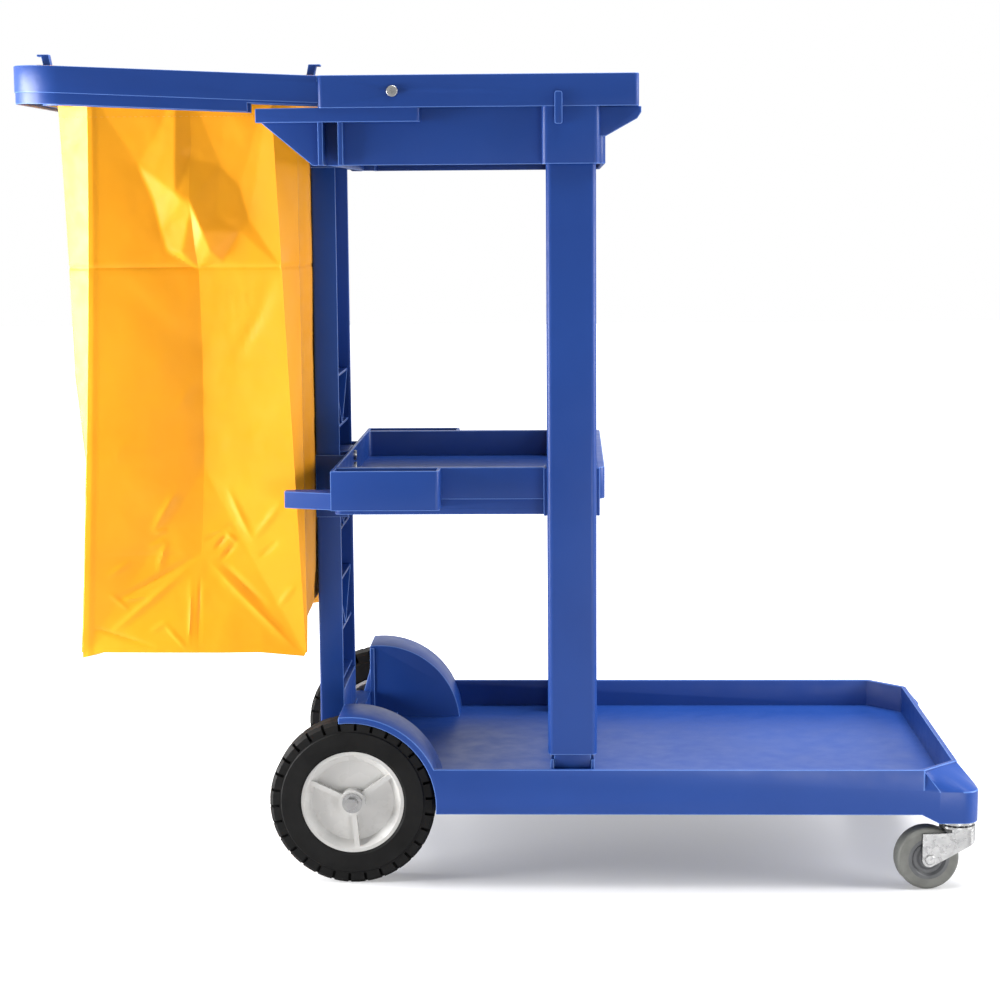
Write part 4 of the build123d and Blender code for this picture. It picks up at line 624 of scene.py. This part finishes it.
# %% Wrinkle lines
WRINKLES = {
    "in front of the apex": [
        ((0.54, 0.411), (0.72, 0.436), -2.4, 0.006),
        ((0.58, 0.420), (0.70, 0.430), 2.0, 0.006),
        ((0.59, 0.400), (0.66, 0.421), -2.6, 0.005),
        ((0.65, 0.421), (0.70, 0.411), 2.2, 0.005),
        ((0.70, 0.412), (0.62, 0.387), -2.6, 0.006),
        ((0.80, 0.392), (0.90, 0.414), -1.8, 0.006),
        ((0.88, 0.333), (0.97, 0.361), 1.8, 0.006),
    ],
    "behind the apex": [
        ((0.31, 0.422), (0.38, 0.426), 1.6, 0.006),
        ((0.29, 0.403), (0.37, 0.415), 1.8, 0.006),
        ((0.10, 0.369), (0.21, 0.389), 1.5, 0.006),
    ],
    "near the foot's back corner": [
        ((0.11, 0.350), (0.20, 0.329), 1.8, 0.005),
        ((0.16, 0.341), (0.33, 0.347), 2.0, 0.005),
        ((0.36, 0.314), (0.47, 0.282), 2.0, 0.005),
        ((0.30, 0.303), (0.38, 0.314), 1.6, 0.005),
    ],
    "along the diagonals": [
        ((0.55, 0.392), (0.96, 0.283), 3.4, 0.010),
        ((0.62, 0.386), (0.84, 0.330), -3.0, 0.009),
        ((0.52, 0.394), (0.13, 0.338), -3.2, 0.008),
        ((0.47, 0.380), (0.11, 0.298), 3.2, 0.010),
        ((0.014, 0.310), (0.34, 0.283), -2.4, 0.006),
    ],
    "above the diagonals": [
        ((0.42, 0.474), (0.30, 0.420), 2.4, 0.009),
        ((0.37, 0.413), (0.33, 0.374), 2.2, 0.008),
        ((0.66, 0.478), (0.78, 0.410), 2.4, 0.009),
        ((0.77, 0.412), (0.93, 0.460), 2.2, 0.009),
    ],
    "below the apex": [
        ((0.484, 0.372), (0.478, 0.280), 1.6, 0.004),
        ((0.526, 0.372), (0.52, 0.280), -1.8, 0.004),
    ],
    "faint lower fold": [
        ((0.0, 0.501), (0.5, 0.500), -1.2, 0.006),
        ((0.58, 0.500), (1.0, 0.499), -1.2, 0.006),
    ],
    "under the level fold": [
        ((0.97, 0.727), (0.70, 0.620), -1.8, 0.016),
        ((0.64, 0.680), (0.90, 0.715), 1.6, 0.010),
        ((0.70, 0.640), (0.92, 0.690), -1.3, 0.009),
    ],
    "middle of the panel": [
        ((0.08, 0.505), (0.22, 0.535), 1.0, 0.008),
        ((0.40, 0.560), (0.52, 0.610), 0.9, 0.010),
    ],
}
WRINKLE_END = 0.02
wrinkle_lines = [line for group in WRINKLES.values() for line in group]


def wrinkle_at(share, height):
    """The wrinkles' ridges at a place on the side panel."""
    spot = Vector((share * PANEL_WIDTH, height))
    lift = 0.0
    for (share_from, height_from), (share_to, height_to), rise, reach in wrinkle_lines:
        start = Vector((share_from * PANEL_WIDTH, height_from))
        run = Vector((share_to * PANEL_WIDTH, height_to)) - start
        along = min(max((spot - start).dot(run) / run.length_squared, 0.0), 1.0)
        away = (spot - start - run * along).length
        fade = sin(pi * min(max(along, WRINKLE_END), 1.0 - WRINKLE_END))
        lift += rise / MM * fade * max(0.0, 1.0 - away / reach) ** 2
    return lift


print("wrinkles", len(wrinkle_lines))

# %% [markdown]
# ### Swells and sags
# Broad forms lie under the folds. A side panel swells behind its valley and hollows in front of it, and has
# a seam near its back edge. The front panel presses on the upright and bulges beside it, and its foot is
# tucked up. The back panel sags inwards, and all of the cloth is a little uneven.

# %% Broad forms of the panels
BULGE_PLACE = 0.122
BULGE_HALF = 0.038
BULGE_TOP = 0.0115
BULGE_LOSS = 0.0055
BULGE_START = 7.0
BULGE_END = 9.0
BACK_BELLY = 0.004
FRONT_HOLLOW = 0.0015
SEAM_LIFT = 0.0011
SEAM_PLACE = 0.025
SEAM_HALF = 0.02
BACK_SAG = 0.009
BACK_SAG_END = 1.1
FRONT_SAG = 0.0015
FRONT_SAG_GROWTH = 0.004
FRONT_TUCK = 0.042
FRONT_TUCK_CURVE = 8
FRONT_TUCK_ENDS = 30.0
EAR_CURVE = 14
BACK_EAR_SHARE = 0.085
BACK_EAR_DROP = 0.0065
FRONT_EAR_SHARE = 0.2
FRONT_EAR_DROP = 0.005


def front_bulge(across, fall):
    """The front panel presses on the upright, so its cloth bulges in a soft ridge on each side of it."""
    ridge = max(0.0, 1.0 - ((abs(across) - BULGE_PLACE) / BULGE_HALF) ** 2)
    hold = min(1.0, BULGE_START * fall, BULGE_END * (1.0 - fall))
    return (BULGE_TOP - BULGE_LOSS * fall) * ridge * hold


def front_tuck(share, fall):
    """How far the front panel's foot is tucked up, less at its two ends."""
    hold = min(1.0, FRONT_TUCK_ENDS * share, FRONT_TUCK_ENDS * (1.0 - share))
    return fall ** FRONT_TUCK_CURVE * FRONT_TUCK * hold


def belly(share, height):
    """Below the level fold the back half swells a little towards the valley, and the front half hollows."""
    if not APEX < height < LEVEL_FOLD:
        return 0.0
    valley = valley_share(height)
    reach = sin(pi * (height - APEX) / (LEVEL_FOLD - APEX)) ** 0.5
    if share < valley:
        return BACK_BELLY * reach * sin(pi * share / valley)
    return -FRONT_HOLLOW * reach * sin(pi * (share - valley) / (1.0 - valley))


def side_seam(share):
    """The raised seam near a side panel's back edge."""
    return SEAM_LIFT * max(0.0, 1.0 - abs(share - SEAM_PLACE) / SEAM_HALF)


def ear_drop(share, fall):
    """How far a side panel's foot hangs down at its two corners."""
    back_ear = max(0.0, 1.0 - share / BACK_EAR_SHARE)
    front_ear = max(0.0, 1.0 - (1.0 - share) / FRONT_EAR_SHARE)
    return fall ** EAR_CURVE * (BACK_EAR_DROP * back_ear + FRONT_EAR_DROP * front_ear)


def crumple(point, size, rise):
    """Small irregular unevenness of hanging cloth."""
    return rise * noise.noise(point / size)


print("bulge of the front panel", BULGE_TOP)

# %% [markdown]
# ### Laying out the cloth
# Each of the eight sides is a strip of the grid, from the hem's corner to the foot's corner. The side
# panels take the fold map and the wrinkles, the panels take their broad forms, and the facets between them
# stay taut. Rows are closer where the cloth is folded and wrinkled, and the near side's panel has more
# columns.

# %% Grid of the bag
NEAR_SIDE = [("side", 108), ("facet", 6), ("front", 30), ("facet", 6)]
FAR_SIDE = [("side", 36), ("facet", 6), ("back", 20), ("facet", 6)]
STRIPS = NEAR_SIDE + FAR_SIDE
WRINKLED = 0.49
FOLD_HALF = 0.004
FOLD_PRESS = 0.001
STAGES = [
    (BAG_TOP, LEVEL_FOLD + FOLD_HALF, 62),
    (LEVEL_FOLD + FOLD_HALF, LEVEL_FOLD - FOLD_HALF, 8),
    (LEVEL_FOLD - FOLD_HALF, WRINKLED, 34),
    (WRINKLED, BAG_FOOT, 92),
]
heights = [top + (low - top) * step / count for top, low, count in STAGES for step in range(count)]
heights.append(BAG_FOOT)


def side_share(share, height, mirrored):
    """The share across a side panel, bent so that the grid's middle column lies on the valley."""
    across = 1.0 - share if mirrored else share
    valley = valley_share(height)
    if across < 0.5:
        return across * 2.0 * valley
    return valley + (across - 0.5) * 2.0 * (1.0 - valley)


def strip_point(index, share, height):
    """A point of the bag: strip, share of its width, height; and the way out from the bag there."""
    kind = STRIPS[index][0]
    ring = outline(height)
    after = (index + 1) % len(STRIPS)
    fall = fall_at(height)
    mirrored = index >= len(NEAR_SIDE)
    across = side_share(share, height, mirrored) if kind == "side" else share
    flat = ring[index].lerp(ring[after], 1.0 - across if kind == "side" and mirrored else across)
    run = ring[after] - ring[index]
    out = Vector((run.y, -run.x)).normalized()
    spot = flat.to_3d()
    spot.z = height
    inside = sin(pi * share)
    stand = -FOLD_PRESS * max(0.0, 1.0 - abs(height - LEVEL_FOLD) / FOLD_HALF)
    if kind == "side":
        stand += soft_fold(across, height) + wrinkle_at(across, height) + belly(across, height)
        stand += side_seam(across)
        spot.z -= ear_drop(across, fall)
    if kind == "back":
        stand -= BACK_SAG * inside * sin(pi * min(1.0, fall * BACK_SAG_END))
        stand += crumple(spot, size=0.07, rise=0.003) * inside
    if kind == "front":
        stand -= inside * (FRONT_SAG + FRONT_SAG_GROWTH * fall)
        stand += front_bulge(spot.y, fall)
        stand += crumple(spot, size=0.07, rise=0.001) * inside
        spot.z += front_tuck(share, fall)
    stand += crumple(spot, size=0.035, rise=0.0011) * inside
    stand += crumple(spot, size=0.012, rise=0.0003) * inside
    spot.x += out.x * stand
    spot.y += out.y * stand
    return spot, out


bag_mesh = bmesh.new()
columns = [(i, step / count) for i, (_, count) in enumerate(STRIPS) for step in range(count)]
neighbours = [(here, (here + 1) % len(columns)) for here in range(len(columns))]
grid = [[bag_mesh.verts.new(strip_point(i, share, height)[0]) for i, share in columns] for height in heights]
for upper, lower in zip(grid[:-1], grid[1:]):
    for here, beside in neighbours:
        bag_mesh.faces.new((upper[here], lower[here], lower[beside], upper[beside]))
for here, (index, share) in enumerate(columns):
    if share == 0.0 or (STRIPS[index][0] == "side" and share == 0.5):
        for upper, lower in zip(grid[:-1], grid[1:]):
            bag_mesh.edges.get((upper[here], lower[here])).smooth = False
print("bag grid", len(grid), "rows of", len(columns))

# %% [markdown]
# ### Closing the foot
# The bottom is one more panel, sewn round the foot. It hangs a little higher than the seam, as a shallow
# dish: rings of points shrink from the seam towards the middle and rise slightly.

# %% Bottom panel
BOTTOM_RINGS = 10
BOTTOM_RISE = 0.012
BOTTOM_STEEP = 3.0
centre = sum((v.co for v in grid[-1]), Vector()) / len(columns)
last = grid[-1]
for ring in range(1, BOTTOM_RINGS):
    share = ring / BOTTOM_RINGS
    lift = BOTTOM_RISE * min(1.0, BOTTOM_STEEP * share)
    inner = []
    for seam in grid[-1]:
        spot = seam.co.lerp(centre, share)
        uneven = crumple(spot, size=0.05, rise=0.002)
        spot.z = seam.co.z * (1.0 - share) + (centre.z + lift) * share + uneven
        inner.append(bag_mesh.verts.new(spot))
    for here, beside in neighbours:
        bag_mesh.faces.new((last[here], inner[here], inner[beside], last[beside]))
    last = inner
middle = bag_mesh.verts.new(centre + Vector((0.0, 0.0, BOTTOM_RISE)))
for here, beside in neighbours:
    bag_mesh.faces.new((last[here], middle, last[beside]))
bmesh.ops.recalc_face_normals(bag_mesh, faces=bag_mesh.faces[:])
print("bottom rings", BOTTOM_RINGS)

# %% Cloth with its thickness
BAG_THICK = 0.0008
CLOTH_FOLD = 30.0


def cloth_object(name, mesh, thickness):
    """Turn a sheet of faces into an object with the cloth's thickness, riding on the cart."""
    data = bpy.data.meshes.new(name)
    mesh.to_mesh(data)
    mesh.free()
    piece = bpy.data.objects.new(name, data)
    bpy.context.scene.collection.objects.link(piece)
    area = sum(face.area for face in data.polygons)
    thick = piece.modifiers.new("cloth_thickness", "SOLIDIFY")
    thick.thickness = thickness
    thick.offset = -1.0
    only(piece)
    bpy.ops.object.modifier_apply(modifier=thick.name)
    bpy.ops.object.shade_smooth_by_angle(angle=radians(CLOTH_FOLD))
    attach(piece, "cart")
    return piece, area


bag, bag_area = cloth_object("hanging_bag", bag_mesh, BAG_THICK)
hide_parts("waste_bag")
print("bag cloth", round(bag_area, 3), "square metres")

# %% [markdown]
# ### Hanging tabs
# Each tab is a strip sewn to a cut corner. It runs up inside the loop, turns over the loop's top and lies
# round a hook, which passes through a slot in it. The strip is a small grid with the slot left out.

# %% Tabs over the loop
TAB_HALF = 0.009
TAB_CLEAR = 0.0002
TAB_THICK = 0.0005
TAB_SHARES = [-1.0, -0.72, 0.0, 0.72, 1.0]
TAB_CLIMB = [(0.0, -0.045), (0.0, -0.03), (0.0, -0.016), (0.0006, -0.006), (0.003, -0.0012), (0.008, 0.0)]
TAB_BEND = 0.004
TAB_TIP = 0.0115
TAB_TIP_DROP = 0.0002
SLOT_HALF = 0.0068
SLOT_COLUMNS = (1, 2)
LOOP_FRONT = -0.204
LOOP_FRONT_TOP = 0.96
LOOP_RISE = 0.0461
CORNER_HALF = 0.1835
HOOK_HALF = 0.22775
BACK_CORNER, BACK_HOOK = -0.5025, -0.517
FRONT_CORNER, FRONT_HOOK = -0.2505, -0.214
tab_mesh = bmesh.new()


def loop_top(x):
    """Height of the loop's top, which rises towards the back."""
    return LOOP_FRONT_TOP + (LOOP_FRONT - x) * LOOP_RISE


def tab_stops(reach):
    """The tab's rows, each as a distance along it and a height from the loop's top."""
    slot_start, slot_end = reach - SLOT_HALF, reach + SLOT_HALF
    over = [(0.5 * slot_start + TAB_BEND, 0.0), (slot_start, 0.0), (slot_end, 0.0)]
    return TAB_CLIMB + over + [(reach + TAB_TIP, -TAB_TIP_DROP)]


def lay_tab(root, hook):
    """One tab from the bag's corner to just past its hook."""
    along = (hook - root).normalized()
    across = Vector((-along.y, along.x))
    rows = []
    for distance, rise in tab_stops((hook - root).length):
        points = []
        for share in TAB_SHARES:
            place = root + along * distance + across * TAB_HALF * share
            height = loop_top(place.x) + TAB_CLEAR + TAB_THICK + rise
            points.append(tab_mesh.verts.new((place.x, place.y, height)))
        rows.append(points)
    slot_row = len(rows) - 3
    for row, (first, second) in enumerate(zip(rows[:-1], rows[1:])):
        for column in range(len(TAB_SHARES) - 1):
            if row != slot_row or column not in SLOT_COLUMNS:
                corners = (first[column], first[column + 1], second[column + 1], second[column])
                tab_mesh.faces.new(corners)


for side in (-1.0, 1.0):
    lay_tab(Vector((BACK_CORNER, side * CORNER_HALF)), Vector((BACK_HOOK, side * HOOK_HALF)))
    lay_tab(Vector((FRONT_CORNER, side * CORNER_HALF)), Vector((FRONT_HOOK, side * HOOK_HALF)))
bmesh.ops.recalc_face_normals(tab_mesh, faces=tab_mesh.faces[:])
tabs, tab_area = cloth_object("bag_tabs", tab_mesh, TAB_THICK)
print("tab cloth", round(tab_area, 4), "square metres")

# %% [markdown]
# ### Stitching
# Two rows of thread hold the hem. Each stitch is a short bar that lies on the cloth, so it catches light
# like thread.

# %% Stitches round the hem
STITCH_ROWS = (0.951, 0.917)
STITCH_PITCH = 0.006
STITCH_LONG, STITCH_HIGH, STITCH_DEEP = 0.0034, 0.0007, 0.0005
STITCH_PROUD = 0.4
STITCH_MIDDLE, STITCH_AHEAD = 0.5, 0.8
stitch_mesh = bmesh.new()
stitch_size = Matrix.Diagonal((STITCH_LONG, STITCH_DEEP, STITCH_HIGH, 1.0))


def lay_stitch(index, height, step, count):
    """One stitch on a strip of the hem, lying along the cloth."""
    spot, out = strip_point(index, (step + STITCH_MIDDLE) / count, height)
    ahead, _ = strip_point(index, (step + STITCH_AHEAD) / count, height)
    along = (ahead - spot).normalized()
    push = Vector((out.x, out.y, 0.0))
    up = push.cross(along).normalized()
    turn = Matrix((along, push, up)).transposed().to_4x4()
    place = Matrix.Translation(spot + push * STITCH_DEEP * STITCH_PROUD)
    bmesh.ops.create_cube(stitch_mesh, size=1.0, matrix=place @ turn @ stitch_size)


for height in STITCH_ROWS:
    ring = outline(height)
    for index in range(len(STRIPS)):
        count = int((ring[(index + 1) % len(STRIPS)] - ring[index]).length / STITCH_PITCH)
        for step in range(count):
            lay_stitch(index, height, step, count)
bmesh.ops.recalc_face_normals(stitch_mesh, faces=stitch_mesh.faces[:])
stitch_data = bpy.data.meshes.new("hem_stitches")
stitch_mesh.to_mesh(stitch_data)
stitch_mesh.free()
stitches = bpy.data.objects.new("hem_stitches", stitch_data)
bpy.context.scene.collection.objects.link(stitches)
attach(stitches, "cart")
print("stitch faces", len(stitch_data.polygons))

# %% [markdown]
# ### Coated cloth
# The cloth is a fine woven polyester with a plastic coat: yellow-orange and half glossy. A very fine weave
# shows as bump, and the coat's gloss varies where it has been pressed and rubbed.

# %% Finish of the bag
bag_fabric, shader = new_finish("bag_fabric", (0.96, 0.37, 0.013), 0.44)
dye = spread(bag_fabric, cloudy(bag_fabric, scale=9.0, detail=3.0), 0.0, 1.0)
cloth_tone = two_tone(bag_fabric, dye, (0.87, 0.335, 0.009), (0.91, 0.375, 0.014))
bag_fabric.node_tree.links.new(cloth_tone, shader.inputs["Base Color"])
coat = spread(bag_fabric, cloudy(bag_fabric, scale=60.0, detail=4.0), low=0.36, high=0.48)
bag_fabric.node_tree.links.new(coat, shader.inputs["Roughness"])
shader.inputs["Specular IOR Level"].default_value = 0.22
weave = cloudy(bag_fabric, scale=1.0, detail=1.0, stretch=(900.0, 900.0, 1800.0))
cloth_grain = bumped(bag_fabric, shader, weave, strength=0.12, depth=0.0003)
creases = cloudy(bag_fabric, scale=45.0, detail=3.0)
bumped(bag_fabric, shader, creases, strength=0.08, depth=0.002, under=cloth_grain)
sewing_thread = moulded("sewing_thread", dark=(0.8, 0.34, 0.03), light=(0.95, 0.46, 0.06),
                        gloss=(0.5, 0.7), patch=300.0, grain=3000.0, grain_strength=0.2)
bag.data.materials.append(bag_fabric)
tabs.data.materials.append(bag_fabric)
stitches.data.materials.append(sewing_thread)
print("finishes", bag_fabric.name, sewing_thread.name)
